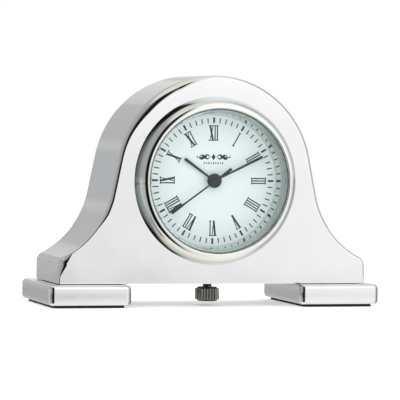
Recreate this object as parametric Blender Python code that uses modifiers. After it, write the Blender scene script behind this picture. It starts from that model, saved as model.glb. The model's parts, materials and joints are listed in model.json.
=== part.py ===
"""Miniature mantel clock: an arched metal case on two feet, with a watch-size quartz movement.

Lengths are in millimetres, and are turned into metres where each mesh is made. X runs to the right,
Y to the back and Z up. The clock stands on z = 0. The dial's axis runs along Y, and every piece on it
is placed by its distance along Y. Places inside the movement are (x, z) from that axis.
"""

import math

import bmesh
import bpy

MM = 0.001
FINE, ROUND, SMALL, TINY = 36, 24, 16, 8  # sides of a circle, by its size
WELD = 1e-7  # metres

# Case
CASE_FRONT, CASE_BACK = -11.08, 11.71
CASE_BASE = 5.35
CASE_HALF_WIDTH = 37.15
CASE_WALL = 1.8
CASE_EDGE = 1.0
ARCH_Z, ARCH_RADIUS = 30.15, 23.65
FLANK_X, FLANK_RADIUS = 45.3, 20.75
ARCH_STEPS, FLANK_STEPS = 12, 7
GAP = 0.05  # between pieces that touch
OVER = 1.0  # how far a cutter runs past the face it cuts
JOIN = 0.1  # how deep a piece runs into the one it is joined to
SCREW_PLAY = 0.15  # around a screw where it passes through a piece
HOLE_EXTRA = 0.3  # a blind hole is this much deeper than its screw

# Feet and pads
FOOT_OUTER_X, FOOT_WIDTH = 40.0, 19.65
FOOT_DEPTH, FOOT_Y = 28.48, 0.48
FOOT_TOP = CASE_BASE - GAP
FOOT_EDGE = 1.0
FOOT_X = FOOT_OUTER_X - FOOT_WIDTH / 2
PAD_HEIGHT, PAD_INSET, PAD_CORNER = 0.56, 1.4, 0.8
FOOT_BOTTOM = PAD_HEIGHT + 0.04
FOOT_SCREW_Y = (FOOT_Y - 7.5, FOOT_Y + 7.5)
FOOT_SCREW_HEAD, FOOT_SCREW_SHANK, FOOT_SCREW_TOP = 2.0, 0.92, 8.8
FOOT_HEAD_LENGTH, FOOT_RECESS = 1.2, 1.4
FOOT_BOSS_RADIUS, FOOT_BOSS_TOP = 2.1, 9.6

# Back plate and battery cover
PLATE_THICKNESS = 1.14
PLATE_BACK = CASE_BACK - 0.11
PLATE_FRONT = PLATE_BACK - PLATE_THICKNESS
REBATE_INSET = 0.95
HATCH_RADIUS = 14.6
PLATE_SCREWS = ((-34.0, 8.6), (34.0, 8.6), (-15.78, 43.39), (15.78, 43.39))
PLATE_SCREW_HEAD, PLATE_SCREW_SHANK, PLATE_SCREW_LENGTH = 1.6, 0.75, 4.6
PLATE_RECESS, PLATE_HEAD_LENGTH = 0.6, 0.5
PLATE_BOSS_FRONT, PLATE_BOSS_RADIUS = 3.0, 1.9
COVER_RADIUS, COVER_THICKNESS, COVER_PLUG_DEPTH = 15.7, 0.74, 1.45
COVER_EDGE, COVER_PLUG_WALL, COVER_PLUG_PLAY = 0.3, 0.9, 0.1
NOTCH_HALF_WIDTH, NOTCH_DEPTH, NOTCH_RISE = 2.0, 0.35, 0.8

# Dial axis and the pieces in front of the movement
DIAL_Z = 29.35
DIAL_FRONT, DIAL_THICKNESS = -8.65, 0.4
DIAL_RADIUS, DIAL_HOLE = 16.95, 1.1
INSERT_RADIUS = 17.0  # whatever sits inside the bezel's barrel
BARREL_INNER, BARREL_OUTER = 17.05, 17.85
BARREL_BACK = -2.3
CASE_BORE = 17.95
BEZEL_RADIUS, BEZEL_LIP = 19.56, 16.78
BEZEL_SEAT = -12.85
BEZEL_CREST = -14.72
GLASS_RADIUS, GLASS_FRONT, GLASS_BACK = 16.4, -14.3, -12.9
GLASS_CHAMFER = 0.3
REFLECTOR_SMALL, REFLECTOR_LARGE = 15.2, 16.3
NUT_RADIUS, NUT_FRONT, NUT_BACK = 20.3, -9.2, -7.7
HOLDER_INNER, HOLDER_BACK = 12.1, -3.3
CLAMP_INNER, CLAMP_BACK = 11.5, -2.6
DIAL_FOOT_X, DIAL_FOOT_RADIUS, DIAL_FOOT_BACK = 14.3, 0.4, -6.9

# Movement, from front to back
PLATE_RADIUS, RIM_INNER = 12.0, 11.2
MOVEMENT_FRONT = -8.15
WEB_FRONT, WEB_BACK = -6.1, -5.4
BRIDGE_FRONT, BRIDGE_BACK = -3.85, -3.3
BRIDGE_RADIUS = 11.9
PIVOT, PIVOT_HOLE = 0.15, 0.2
ARBOR = 0.2
STUD, STUD_BORE = 0.35, 0.4
PILLARS = ((-0.9, 7.7), (8.7, -3.6), (-3.7, -8.4))
PILLAR_RADIUS, PILLAR_HOLE = 0.9, 0.36
BATTERY_RADIUS, BATTERY_FRONT, BATTERY_BACK = 3.95, -5.3, -2.7
BATTERY_AT = (4.82, 5.75)
BATTERY_WELL_PLAY = 0.35
CLAMP_HALF_WIDTH, CLAMP_THICKNESS = 1.1, 0.2
BOARD_INNER, BOARD_OUTER, BOARD_THICKNESS = 5.2, 10.6, 0.3
COIL_X, COIL_BOTTOM, COIL_TOP, COIL_RADIUS = -8.7, -4.4, 3.0, 0.6
CORE_PLANE = (-4.65, -4.35)
STATOR_FRONT = -4.99
MAGNET_RADIUS, MAGNET_PLANE = 0.9, (-5.1, -4.6)

# Gear train: teeth, distances between arbors, and the module that they give each pair in mesh
ADDENDUM, DEDENDUM = 0.85, 1.1  # modules
ROOT_HALF, TIP_HALF = 0.26, 0.11  # half a tooth's width, as a share of the pitch
ROTOR_TEETH, INTERMEDIATE_TEETH, INTERMEDIATE_PINION = 6, 36, 6
SECONDS_TEETH, SECONDS_PINION = 30, 6
THIRD_TEETH, THIRD_PINION = 48, 6
CENTRE_TEETH, CANNON_TEETH = 45, 10
MINUTE_TEETH, MINUTE_PINION, HOUR_TEETH = 30, 8, 32
SETTING_TEETH = 15
ROTOR_DISTANCE, INTERMEDIATE_DISTANCE = 2.52, 3.84
THIRD_DISTANCE, MINUTE_DISTANCE = 3.4, 3.6
ROTOR_MODULE = 2 * ROTOR_DISTANCE / (INTERMEDIATE_TEETH + ROTOR_TEETH)
SECONDS_MODULE = 2 * INTERMEDIATE_DISTANCE / (SECONDS_TEETH + INTERMEDIATE_PINION)
THIRD_MODULE = 2 * THIRD_DISTANCE / (THIRD_TEETH + SECONDS_PINION)
CENTRE_MODULE = 2 * THIRD_DISTANCE / (CENTRE_TEETH + THIRD_PINION)
MINUTE_MODULE = 2 * MINUTE_DISTANCE / (MINUTE_TEETH + CANNON_TEETH)
HOUR_MODULE = 2 * MINUTE_DISTANCE / (HOUR_TEETH + MINUTE_PINION)

# Where the wheels stand along Y: (front, back) of each plane
HOUR_PLANE = (-7.2, -6.9)
MINUTE_PLANE = (-6.5, -6.17)
CENTRE_PLANE = (-5.26, -5.06)
THIRD_PLANE = (-4.93, -4.73)
SECONDS_PLANE = (-4.58, -4.38)
INTERMEDIATE_PLANE = (-4.22, -4.02)
PINION_OVERHANG = 0.05  # a pinion is this much longer than the wheel it drives is thick
SHOULDER_PLAY = 0.04
STUD_TIP = 0.3  # a stud stands this far out of its wheel

# Pipes and hands
SECONDS_ARBOR, CENTRE_BORE, CENTRE_PIPE = 0.22, 0.27, 0.42
CANNON_BORE, CANNON_PIPE = 0.45, 0.68
HOUR_BORE, HOUR_PIPE = 0.73, 1.0
HOUR_HAND_FRONT, MINUTE_HAND_FRONT, SECOND_HAND_FRONT = -9.4, -10.0, -10.6
HAND_THICKNESS = 0.2
HAND_HUB = 1.7
HOUR, MINUTE, SECOND = 10, 10, 39

# Keyless works: the stem and crown stand on a vertical axis below the dial
STEM_Y = -5.5
STEM_RADIUS, STEM_SQUARE = 0.5, 0.7
STEM_TOP, SQUARE_END, STEM_BOTTOM = DIAL_Z - 5.3, DIAL_Z - 7.9, 2.5
GROOVE_Z, GROOVE_HALF, GROOVE_RADIUS = DIAL_Z - 9.0, 0.45, 0.28
CLUTCH_TOP, CLUTCH_BOTTOM = DIAL_Z - 6.25, DIAL_Z - 7.7
CLUTCH_RADIUS, CLUTCH_WAIST, CLUTCH_TEETH = 1.0, 0.68, 12
CLUTCH_RIM = 0.35
LEVER_PIVOT, YOKE_PIVOT = (2.4, -9.0), (3.0, -7.2)
LEVER_PLANE = (-5.3, -5.05)
LEVER_TIP, YOKE_TIP = 0.27, 0.73
TUBE_RADIUS, TUBE_BORE, TUBE_BOTTOM = 1.05, 0.56, 4.5
CROWN_RADIUS, CROWN_END, CROWN_TOP, CROWN_BOTTOM = 2.85, 2.35, 4.4, 1.1
CROWN_FLUTES, CROWN_FLUTE_DEPTH, CROWN_END_HEIGHT = 24, 0.28, 0.35
TUBE_FLANGE_RADIUS, TUBE_FLANGE_HEIGHT = 1.9, 0.6
STEM_HOLE = 0.75

MATERIALS = {
    "polished_case": ((0.80, 0.80, 0.81), 1.0, 0.08),
    "polished_bezel": ((0.78, 0.78, 0.77), 1.0, 0.10),
    "reflector": ((0.74, 0.75, 0.76), 1.0, 0.15),
    "white_dial": ((0.90, 0.94, 0.95), 0.0, 0.45),
    "hand_black": ((0.03, 0.03, 0.035), 0.6, 0.35),
    "crown_metal": ((0.22, 0.21, 0.20), 1.0, 0.30),
    "mineral_glass": ((0.90, 0.95, 0.94), 0.0, 0.02),
    "clear_nylon": ((0.62, 0.66, 0.64), 0.0, 0.40),
    "black_pad": ((0.02, 0.02, 0.02), 0.0, 0.90),
    "plated_steel": ((0.62, 0.62, 0.62), 1.0, 0.35),
    "screw_steel": ((0.60, 0.60, 0.60), 1.0, 0.30),
    "battery_steel": ((0.66, 0.66, 0.65), 1.0, 0.28),
    "holder_plastic": ((0.75, 0.75, 0.72), 0.0, 0.50),
    "nickel_plate": ((0.68, 0.66, 0.62), 1.0, 0.30),
    "wheel_brass": ((0.78, 0.60, 0.28), 1.0, 0.30),
    "circuit_green": ((0.03, 0.22, 0.10), 0.0, 0.45),
    "chip_black": ((0.02, 0.02, 0.02), 0.0, 0.55),
    "coil_copper": ((0.72, 0.33, 0.15), 1.0, 0.35),
    "soft_iron": ((0.45, 0.45, 0.46), 1.0, 0.40),
}


# --- Scene, materials and the shared helpers -------------------------------------------------------


def clear_scene():
    for obj in list(bpy.data.objects):
        bpy.data.objects.remove(obj, do_unlink=True)


def make_collection(name, hidden=False):
    collection = bpy.data.collections.new(name)
    bpy.context.scene.collection.children.link(collection)
    collection.hide_render = hidden
    return collection


def make_material(name):
    rgb, metallic, roughness = MATERIALS[name]
    material = bpy.data.materials.new(name)
    material.use_nodes = True
    shader = material.node_tree.nodes["Principled BSDF"]
    shader.inputs["Base Color"].default_value = (*rgb, 1.0)
    shader.inputs["Metallic"].default_value = metallic
    shader.inputs["Roughness"].default_value = roughness
    if name == "mineral_glass":
        shader.inputs["Transmission Weight"].default_value = 1.0
    return material


def place(name, mesh, origin, along_y):
    """A new object. One that stands along Y has its local Z on the world's Y."""
    obj = bpy.data.objects.new(name, mesh)
    obj.location = [value * MM for value in origin]
    if along_y:
        obj.rotation_euler.x = -math.pi / 2
    PARTS.objects.link(obj)
    return obj


def finish(obj, material):
    obj.data.materials.clear()
    obj.data.materials.append(bpy.data.materials[material])
    return obj


def polar(radius, angle):
    """A point (x, z) at this clockwise angle from 12 o'clock, seen from the front."""
    return radius * math.sin(angle), radius * math.cos(angle)


def circle(radius, sides, at=(0.0, 0.0)):
    turns = [polar(radius, math.tau * i / sides) for i in range(sides)]
    return [(at[0] + x, at[1] + z) for x, z in turns]


def turned(name, profile, origin, along_y=True, sides=FINE):
    """A body of revolution. The profile lists (radius, distance along the axis) around the solid.

    A solid with no hole starts and ends on the axis, where its profile stays open.
    """
    area = sum(
        a[0] * b[1] - b[0] * a[1] for a, b in zip(profile, profile[1:] + profile[:1])
    )
    if area > 0:
        profile = profile[::-1]
    count = len(profile)
    edges = [(i, i + 1) for i in range(count - 1)]
    if profile[0][0] > 0:
        edges.append((count - 1, 0))
    mesh = bpy.data.meshes.new(name)
    mesh.from_pydata([(r * MM, 0.0, d * MM) for r, d in profile], edges, [])
    obj = place(name, mesh, origin, along_y)
    screw = obj.modifiers.new("turn", "SCREW")
    screw.angle = math.tau
    screw.steps = screw.render_steps = sides
    screw.use_merge_vertices = True
    screw.merge_threshold = WELD * 5
    return obj


def flat(name, outlines, span, at=(0.0, 0.0), along_y=True):
    """A plate cut to the first outline, with the others as holes, between the two ends of its span.

    Along Y the outline's points are (x, z) around (x, DIAL_Z + z). Otherwise they are (x, y) around
    the stem's axis, and the span runs along Z.
    """
    curve = bpy.data.curves.new(name, "CURVE")
    curve.dimensions = "2D"
    curve.fill_mode = "BOTH"
    curve.extrude = (span[1] - span[0]) / 2 * MM
    for outline in outlines:
        spline = curve.splines.new("POLY")
        spline.points.add(len(outline) - 1)
        spline.use_cyclic_u = True
        for point, (across, up) in zip(spline.points, outline):
            point.co = (across * MM, (-up if along_y else up) * MM, 0.0, 1.0)
    middle = (span[0] + span[1]) / 2
    if along_y:
        origin = (at[0], middle, DIAL_Z + at[1])
    else:
        origin = (at[0], STEM_Y + at[1], middle)
    guide = place(name + "_outline", curve, origin, along_y)
    mesh = bpy.data.meshes.new_from_object(
        guide.evaluated_get(bpy.context.evaluated_depsgraph_get())
    )
    bpy.data.objects.remove(guide, do_unlink=True)
    shape = bmesh.new()
    shape.from_mesh(mesh)
    bmesh.ops.remove_doubles(shape, verts=shape.verts, dist=WELD)
    bmesh.ops.recalc_face_normals(shape, faces=shape.faces)
    shape.to_mesh(mesh)
    shape.free()
    mesh.shade_smooth()
    mesh.set_sharp_from_angle(angle=math.radians(30))
    mesh.name = name
    return place(name, mesh, origin, along_y)


def block(name, low, high, edge=0.0, edge_steps=2):
    """A box between two corners, its edges rounded when an edge radius is given."""
    shape = bmesh.new()
    bmesh.ops.create_cube(shape, size=1.0)
    sides = [(b - a) * MM for a, b in zip(low, high)]
    bmesh.ops.scale(shape, vec=sides, verts=shape.verts)
    mesh = bpy.data.meshes.new(name)
    shape.to_mesh(mesh)
    shape.free()
    obj = place(name, mesh, [(a + b) / 2 for a, b in zip(low, high)], False)
    if edge:
        round_edges(obj, edge, edge_steps)
    return obj


def cylinder(name, radius, start, end, sides=TINY):
    """A cylinder along Y or Z, between the centres of its two ends."""
    along_y = start[2] == end[2]
    length = math.dist(start, end)
    shape = bmesh.new()
    bmesh.ops.create_cone(
        shape,
        cap_ends=True,
        segments=sides,
        radius1=radius * MM,
        radius2=radius * MM,
        depth=length * MM,
    )
    mesh = bpy.data.meshes.new(name)
    shape.to_mesh(mesh)
    shape.free()
    return place(name, mesh, [(a + b) / 2 for a, b in zip(start, end)], along_y)


def post(name, radius, at, span, sides=TINY):
    """A cylinder along Y at a place (x, z) from the dial's axis."""
    x, z = at[0], DIAL_Z + at[1]
    return cylinder(name, radius, (x, span[0], z), (x, span[1], z), sides)


def round_edges(obj, width, steps):
    bevel = obj.modifiers.new("edges", "BEVEL")
    bevel.width = width * MM
    bevel.segments = steps
    bevel.limit_method = "ANGLE"
    bevel.angle_limit = math.radians(35)


def merge_flat_faces(obj):
    """Makes each flat side one face, so that a bevel isn't held back by the triangles of its ends."""
    shape = bmesh.new()
    shape.from_mesh(obj.data)
    bmesh.ops.dissolve_limit(
        shape, angle_limit=math.radians(0.5), verts=shape.verts, edges=shape.edges
    )
    shape.to_mesh(obj.data)
    shape.free()


def put_aside(obj):
    PARTS.objects.unlink(obj)
    CUTTERS.objects.link(obj)
    obj.hide_render = True
    obj.display_type = "WIRE"


def combine(obj, others, operation):
    for other in others:
        boolean = obj.modifiers.new(other.name, "BOOLEAN")
        boolean.operation = operation
        boolean.solver = "EXACT"
        boolean.object = other
        put_aside(other)
    return obj


def join(obj, *others):
    return combine(obj, others, "UNION")


def cut(obj, *others):
    return combine(obj, others, "DIFFERENCE")


def screw(name, head_at, towards, head, shank, material="screw_steel"):
    """A slotted screw. head and shank are (radius, length), and the head's outer face is at head_at."""
    axis = 1 if towards[1] else 2
    sign = towards[axis]
    head_radius, head_length = head
    shank_radius, shank_length = shank
    profile = [
        (0.0, 0.0),
        (head_radius, 0.0),
        (head_radius, sign * head_length),
        (shank_radius, sign * head_length),
        (shank_radius, sign * (head_length + shank_length)),
        (0.0, sign * (head_length + shank_length)),
    ]
    obj = turned(name, profile, head_at, along_y=axis == 1, sides=TINY)
    half = [head_radius * 1.2, head_radius * 1.2, head_radius * 1.2]
    half[2 if axis == 1 else 1] = head_radius * 0.14
    half[axis] = head_length * 0.4
    low = [centre - size for centre, size in zip(head_at, half)]
    high = [centre + size for centre, size in zip(head_at, half)]
    return finish(cut(obj, block(name + "_slot", low, high)), material)


# --- Case, feet and back ---------------------------------------------------------------------------


def case_outline(inset):
    """The front view: an arch, a flank that curves the other way, and an upright side, mirrored."""
    arch, flank = ARCH_RADIUS - inset, FLANK_RADIUS + inset
    side = CASE_HALF_WIDTH - inset
    meet = math.acos((arch + flank) / FLANK_X)
    end = math.tau - math.acos((side - FLANK_X) / flank)
    half = []
    for i in range(ARCH_STEPS + 1):
        angle = math.pi / 2 + (meet - math.pi / 2) * i / ARCH_STEPS
        half.append((arch * math.cos(angle), ARCH_Z + arch * math.sin(angle)))
    for i in range(FLANK_STEPS + 1):
        angle = math.pi + meet + (end - math.pi - meet) * i / FLANK_STEPS
        half.append((FLANK_X + flank * math.cos(angle), ARCH_Z + flank * math.sin(angle)))
    half.append((side, CASE_BASE + inset))
    mirrored = [(-x, z) for x, z in reversed(half[1:])]
    return [(x, z - DIAL_Z) for x, z in half + mirrored]


def make_case_body():
    body = flat("case_body", [case_outline(0.0)], (CASE_FRONT, CASE_BACK))
    merge_flat_faces(body)
    round_edges(body, CASE_EDGE, 2)
    cavity = flat("cavity", [case_outline(CASE_WALL)], (CASE_FRONT + CASE_WALL, PLATE_FRONT + JOIN))
    rebate = flat("rebate", [case_outline(REBATE_INSET)], (PLATE_FRONT - GAP, CASE_BACK + OVER))
    bore_span = (CASE_FRONT - OVER, CASE_FRONT + CASE_WALL + OVER)
    bore = post("bore", CASE_BORE, (0, 0), bore_span, FINE)
    cut(body, cavity, rebate, bore)
    bosses, holes = [], []
    for x in (-FOOT_X, FOOT_X):
        for y in FOOT_SCREW_Y:
            low, high = CASE_BASE + CASE_WALL / 2, FOOT_BOSS_TOP
            bosses.append(cylinder("foot_boss", FOOT_BOSS_RADIUS, (x, y, low), (x, y, high)))
            low, high = CASE_BASE - OVER, FOOT_SCREW_TOP + HOLE_EXTRA
            holes.append(
                cylinder("foot_hole", FOOT_SCREW_SHANK + GAP, (x, y, low), (x, y, high))
            )
    back = PLATE_FRONT - GAP
    for x, z in PLATE_SCREWS:
        at = (x, z - DIAL_Z)
        bosses.append(post("plate_boss", PLATE_BOSS_RADIUS, at, (PLATE_BOSS_FRONT, back - 0.01)))
        hole_span = (PLATE_BACK - PLATE_SCREW_LENGTH - HOLE_EXTRA, back + OVER)
        holes.append(post("plate_hole", PLATE_SCREW_SHANK + GAP, at, hole_span))
    low, high = CASE_BASE - OVER, CASE_BASE + CASE_WALL + OVER
    holes.append(
        cylinder("tube_hole", TUBE_RADIUS + GAP, (0, STEM_Y, low), (0, STEM_Y, high), SMALL)
    )
    join(body, *bosses)
    cut(body, *holes)
    finish(body, "polished_case")


def make_back_plate():
    plate = flat(
        "back_plate",
        [case_outline(REBATE_INSET + GAP), circle(HATCH_RADIUS, FINE)],
        (PLATE_FRONT, PLATE_BACK),
    )
    shank_hole, head_hole = PLATE_SCREW_SHANK + SCREW_PLAY, PLATE_SCREW_HEAD + SCREW_PLAY
    for x, z in PLATE_SCREWS:
        at = (x, z - DIAL_Z)
        through = post("plate_screw_hole", shank_hole, at, (PLATE_FRONT - OVER, PLATE_BACK + OVER))
        recess = post("plate_recess", head_hole, at, (PLATE_BACK - PLATE_RECESS, PLATE_BACK + OVER))
        cut(plate, through, recess)
    finish(plate, "plated_steel")
    names = ("lower_left", "lower_right", "upper_left", "upper_right")
    for name, (x, z) in zip(names, PLATE_SCREWS):
        screw(
            "back_plate_screw_" + name,
            (x, PLATE_BACK - GAP, z),
            (0, -1, 0),
            (PLATE_SCREW_HEAD, PLATE_HEAD_LENGTH),
            (PLATE_SCREW_SHANK, PLATE_SCREW_LENGTH - PLATE_RECESS),
        )


def make_battery_cover():
    """A shallow cup that snaps into the back plate. Its rim has a notch to lift it by."""
    front = PLATE_BACK + GAP
    back = front + COVER_THICKNESS
    plug, plug_front = HATCH_RADIUS - COVER_PLUG_PLAY, front - COVER_PLUG_DEPTH
    profile = [
        (0.0, back),
        (COVER_RADIUS - COVER_EDGE, back),
        (COVER_RADIUS, back - COVER_EDGE),
        (COVER_RADIUS, front),
        (plug, front),
        (plug, plug_front),
        (plug - COVER_PLUG_WALL, plug_front),
        (plug - COVER_PLUG_WALL, front),
        (0.0, front),
    ]
    cover = turned("battery_cover", profile, (0, 0, DIAL_Z))
    bottom = DIAL_Z - COVER_RADIUS
    notch = block(
        "notch",
        (-NOTCH_HALF_WIDTH, front - OVER, bottom - OVER),
        (NOTCH_HALF_WIDTH, front + NOTCH_DEPTH, bottom + NOTCH_RISE),
    )
    finish(cut(cover, notch), "polished_case")


def make_foot(side, name):
    x0, x1 = sorted((side * FOOT_OUTER_X, side * (FOOT_OUTER_X - FOOT_WIDTH)))
    y0, y1 = FOOT_Y - FOOT_DEPTH / 2, FOOT_Y + FOOT_DEPTH / 2
    foot = block(name, (x0, y0, FOOT_BOTTOM), (x1, y1, FOOT_TOP), FOOT_EDGE)
    x, below, recess_top = side * FOOT_X, FOOT_BOTTOM - OVER, FOOT_BOTTOM + FOOT_RECESS
    shank_hole, head_hole = FOOT_SCREW_SHANK + SCREW_PLAY, FOOT_SCREW_HEAD + SCREW_PLAY
    for end, y in zip(("front", "back"), FOOT_SCREW_Y):
        through = cylinder("foot_through", shank_hole, (x, y, below), (x, y, FOOT_TOP + OVER))
        recess = cylinder("foot_recess", head_hole, (x, y, below), (x, y, recess_top))
        cut(foot, through, recess)
        head_bottom = recess_top - GAP - FOOT_HEAD_LENGTH
        screw(
            f"{name}_screw_{end}",
            (x, y, head_bottom),
            (0, 0, 1),
            (FOOT_SCREW_HEAD, FOOT_HEAD_LENGTH),
            (FOOT_SCREW_SHANK, FOOT_SCREW_TOP - head_bottom - FOOT_HEAD_LENGTH),
        )
    finish(foot, "polished_case")
    inset = PAD_INSET
    pad = block(
        name + "_pad", (x0 + inset, y0 + inset, 0.0), (x1 - inset, y1 - inset, PAD_HEIGHT)
    )
    upright = pad.modifiers.new("corners", "BEVEL")
    upright.width = PAD_CORNER * MM
    upright.segments = 2
    upright.limit_method = "WEIGHT"
    weights = pad.data.attributes.new("bevel_weight_edge", "FLOAT", "EDGE")
    for edge, weight in zip(pad.data.edges, weights.data):
        a, b = (pad.data.vertices[i].co for i in edge.vertices)
        weight.value = 1.0 if abs(a.z - b.z) > PAD_HEIGHT * MM / 2 else 0.0
    finish(pad, "black_pad")


# --- Bezel, glass, dial and what holds them --------------------------------------------------------


def ring(name, inner, outer, span, material, sides=FINE):
    profile = [(outer, span[0]), (outer, span[1]), (inner, span[1]), (inner, span[0])]
    return finish(turned(name, profile, (0, 0, DIAL_Z), sides=sides), material)


def stem_hole(top, bottom):
    return cylinder("stem_hole", STEM_HOLE, (0, STEM_Y, bottom), (0, STEM_Y, top))


def make_bezel():
    """A ring with a rounded section, on a barrel that goes through the case."""
    face = CASE_FRONT - GAP
    flank = [(BEZEL_RADIUS, face), (19.35, -12.0), (18.8, -13.35), (18.1, -14.35)]
    crest = [(17.3, BEZEL_CREST), (BEZEL_LIP, GLASS_FRONT - 0.05)]
    barrel = [
        (BEZEL_LIP, BEZEL_SEAT),
        (BARREL_INNER, BEZEL_SEAT),
        (BARREL_INNER, BARREL_BACK),
        (BARREL_OUTER, BARREL_BACK),
        (BARREL_OUTER, face),
    ]
    bezel = turned("bezel", flank + crest + barrel, (0, 0, DIAL_Z))
    hole = stem_hole(DIAL_Z - BARREL_INNER + OVER, DIAL_Z - BARREL_OUTER - OVER)
    finish(cut(bezel, hole), "polished_bezel")
    ring("bezel_nut", CASE_BORE, NUT_RADIUS, (NUT_FRONT, NUT_BACK), "plated_steel")


def make_glass():
    profile = [
        (0.0, GLASS_FRONT),
        (GLASS_RADIUS - GLASS_CHAMFER, GLASS_FRONT),
        (GLASS_RADIUS, GLASS_FRONT + GLASS_CHAMFER),
        (GLASS_RADIUS, GLASS_BACK),
        (0.0, GLASS_BACK),
    ]
    finish(turned("glass", profile, (0, 0, DIAL_Z)), "mineral_glass")
    span = (GLASS_FRONT + GLASS_CHAMFER / 2, GLASS_BACK)
    ring("glass_gasket", GLASS_RADIUS + GAP, BEZEL_LIP - GAP, span, "clear_nylon")


def make_reflector():
    front, back = BEZEL_SEAT + GAP, DIAL_FRONT - GAP
    profile = [
        (REFLECTOR_LARGE, front),
        (INSERT_RADIUS, front),
        (INSERT_RADIUS, back),
        (REFLECTOR_SMALL, back),
    ]
    finish(turned("reflector_ring", profile, (0, 0, DIAL_Z)), "reflector")


def make_dial():
    back = DIAL_FRONT + DIAL_THICKNESS
    dial = flat("dial", [circle(DIAL_RADIUS, FINE), circle(DIAL_HOLE, SMALL)], (DIAL_FRONT, back))
    feet = [
        post("dial_foot", DIAL_FOOT_RADIUS, (x, 0), (back - JOIN, DIAL_FOOT_BACK))
        for x in (-DIAL_FOOT_X, DIAL_FOOT_X)
    ]
    finish(join(dial, *feet), "white_dial")
    return back


def make_holder(dial_back):
    span = (dial_back + GAP, HOLDER_BACK)
    holder = ring("movement_holder", HOLDER_INNER, INSERT_RADIUS, span, "holder_plastic")
    hole_span = (dial_back - OVER, DIAL_FOOT_BACK + HOLE_EXTRA)
    for x in (-DIAL_FOOT_X, DIAL_FOOT_X):
        cut(holder, post("dial_foot_hole", DIAL_FOOT_RADIUS + 2 * GAP, (x, 0), hole_span))
    cut(holder, stem_hole(DIAL_Z - HOLDER_INNER + OVER, DIAL_Z - INSERT_RADIUS - OVER))
    span = (HOLDER_BACK + GAP, CLAMP_BACK)
    ring("clamp_ring", CLAMP_INNER, INSERT_RADIUS, span, "plated_steel")


# --- Hands -----------------------------------------------------------------------------------------


def hand_outline(hub, blade, tail, angle):
    """A hub's circle with a blade, and a tail opposite. Each lists (distance, half width)."""
    points = []
    for turn, arm, other in ((angle, blade, tail), (angle + math.pi, tail, blade)):
        (along_x, along_z), (side_x, side_z) = polar(1, turn), (math.cos(turn), -math.sin(turn))
        edges = [(distance, -half) for distance, half in arm]
        edges += [(distance, half) for distance, half in reversed(arm)]
        points += [(d * along_x + h * side_x, d * along_z + h * side_z) for d, h in edges]
        start = math.asin(arm[0][1] / hub) if arm else 0.0
        end = math.pi - (math.asin(other[0][1] / hub) if other else 0.0)
        steps = 7
        for i in range(1 if arm else 0, steps):
            points.append(polar(hub, turn + start + (end - start) * i / steps))
    return points


def make_hands():
    hour_angle = math.tau * (HOUR + MINUTE / 60 + SECOND / 3600) / 12
    minute_angle = math.tau * (MINUTE + SECOND / 60) / 60
    second_angle = math.tau * SECOND / 60
    hands = (
        ("hour_hand", HOUR_HAND_FRONT, HAND_HUB, HOUR_PIPE + 0.04, hour_angle,
         [(1.6, 0.22), (8.2, 0.36), (8.8, 0.12)], []),
        ("minute_hand", MINUTE_HAND_FRONT, HAND_HUB, CANNON_PIPE + 0.04, minute_angle,
         [(1.6, 0.18), (12.3, 0.32), (13.0, 0.1)], []),
        ("second_hand", SECOND_HAND_FRONT, 0.55, SECONDS_ARBOR + 0.03, second_angle,
         [(0.5, 0.1), (13.0, 0.06)], [(0.5, 0.12), (4.8, 0.38)]),
    )
    for name, front, hub, bore, angle, blade, tail in hands:
        outlines = [hand_outline(hub, blade, tail, angle), circle(bore, SMALL)]
        hand = flat(name, outlines, (front, front + HAND_THICKNESS))
        finish(hand, "hand_black")


# --- Gears -----------------------------------------------------------------------------------------


def gear_outline(teeth, module, phase):
    """Trapezium teeth, thin enough to run freely. phase is the clockwise angle of one tooth."""
    tip, root = (teeth / 2 + ADDENDUM) * module, (teeth / 2 - DEDENDUM) * module
    corners = ((root, -ROOT_HALF), (tip, -TIP_HALF), (tip, TIP_HALF), (root, ROOT_HALF))
    pitch = math.tau / teeth
    points = []
    for i in range(teeth):
        middle = phase + i * pitch
        for radius, share in corners:
            points.append(polar(radius, middle + share * pitch))
    return points


def meshed_phase(phase, teeth, other_teeth, direction):
    """The phase that puts a gear's teeth in the gaps of one whose phase is known.

    direction is the clockwise angle from the known gear's axis to the other's.
    """
    turned_by = (direction - phase) * teeth + math.pi
    return direction + math.pi + turned_by / other_teeth


def direction_of(start, end):
    return math.atan2(end[0] - start[0], end[1] - start[1])


def gear(name, teeth, module, phase, span, at, bore=0.0):
    outlines = [gear_outline(teeth, module, phase)]
    if bore:
        outlines.append(circle(bore, SMALL if bore > STUD_BORE else TINY))
    return flat(name, outlines, span, at)


def stepped_arbor(name, at, steps, sides=TINY):
    """A turned arbor. steps lists (radius, front, back) from front to back."""
    profile = [(0.0, steps[0][1])]
    for radius, front, back in steps:
        profile += [(radius, front), (radius, back)]
    profile.append((0.0, steps[-1][2]))
    return turned(name, profile, (at[0], 0, DIAL_Z + at[1]), sides=sides)


def pipe(name, inner, outer, span):
    profile = [(outer, span[0]), (outer, span[1]), (inner, span[1]), (inner, span[0])]
    return turned(name, profile, (0, 0, DIAL_Z), sides=SMALL)


def train_layout():
    """Where each arbor stands, as (x, z) from the dial's axis."""
    centre = (0.0, 0.0)
    third = polar(THIRD_DISTANCE, math.radians(115))
    intermediate = polar(INTERMEDIATE_DISTANCE, math.radians(300))
    step = polar(ROTOR_DISTANCE, math.radians(315))
    rotor = (intermediate[0] + step[0], intermediate[1] + step[1])
    minute = polar(MINUTE_DISTANCE, math.radians(238.2))
    # The setting wheel stands on the stem's line, in mesh with the minute wheel.
    reach = MINUTE_MODULE * (MINUTE_TEETH + SETTING_TEETH) / 2
    setting = (0.0, minute[1] - math.sqrt(reach**2 - minute[0] ** 2))
    return {
        "centre": centre,
        "third": third,
        "intermediate": intermediate,
        "rotor": rotor,
        "minute": minute,
        "setting": setting,
    }


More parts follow.
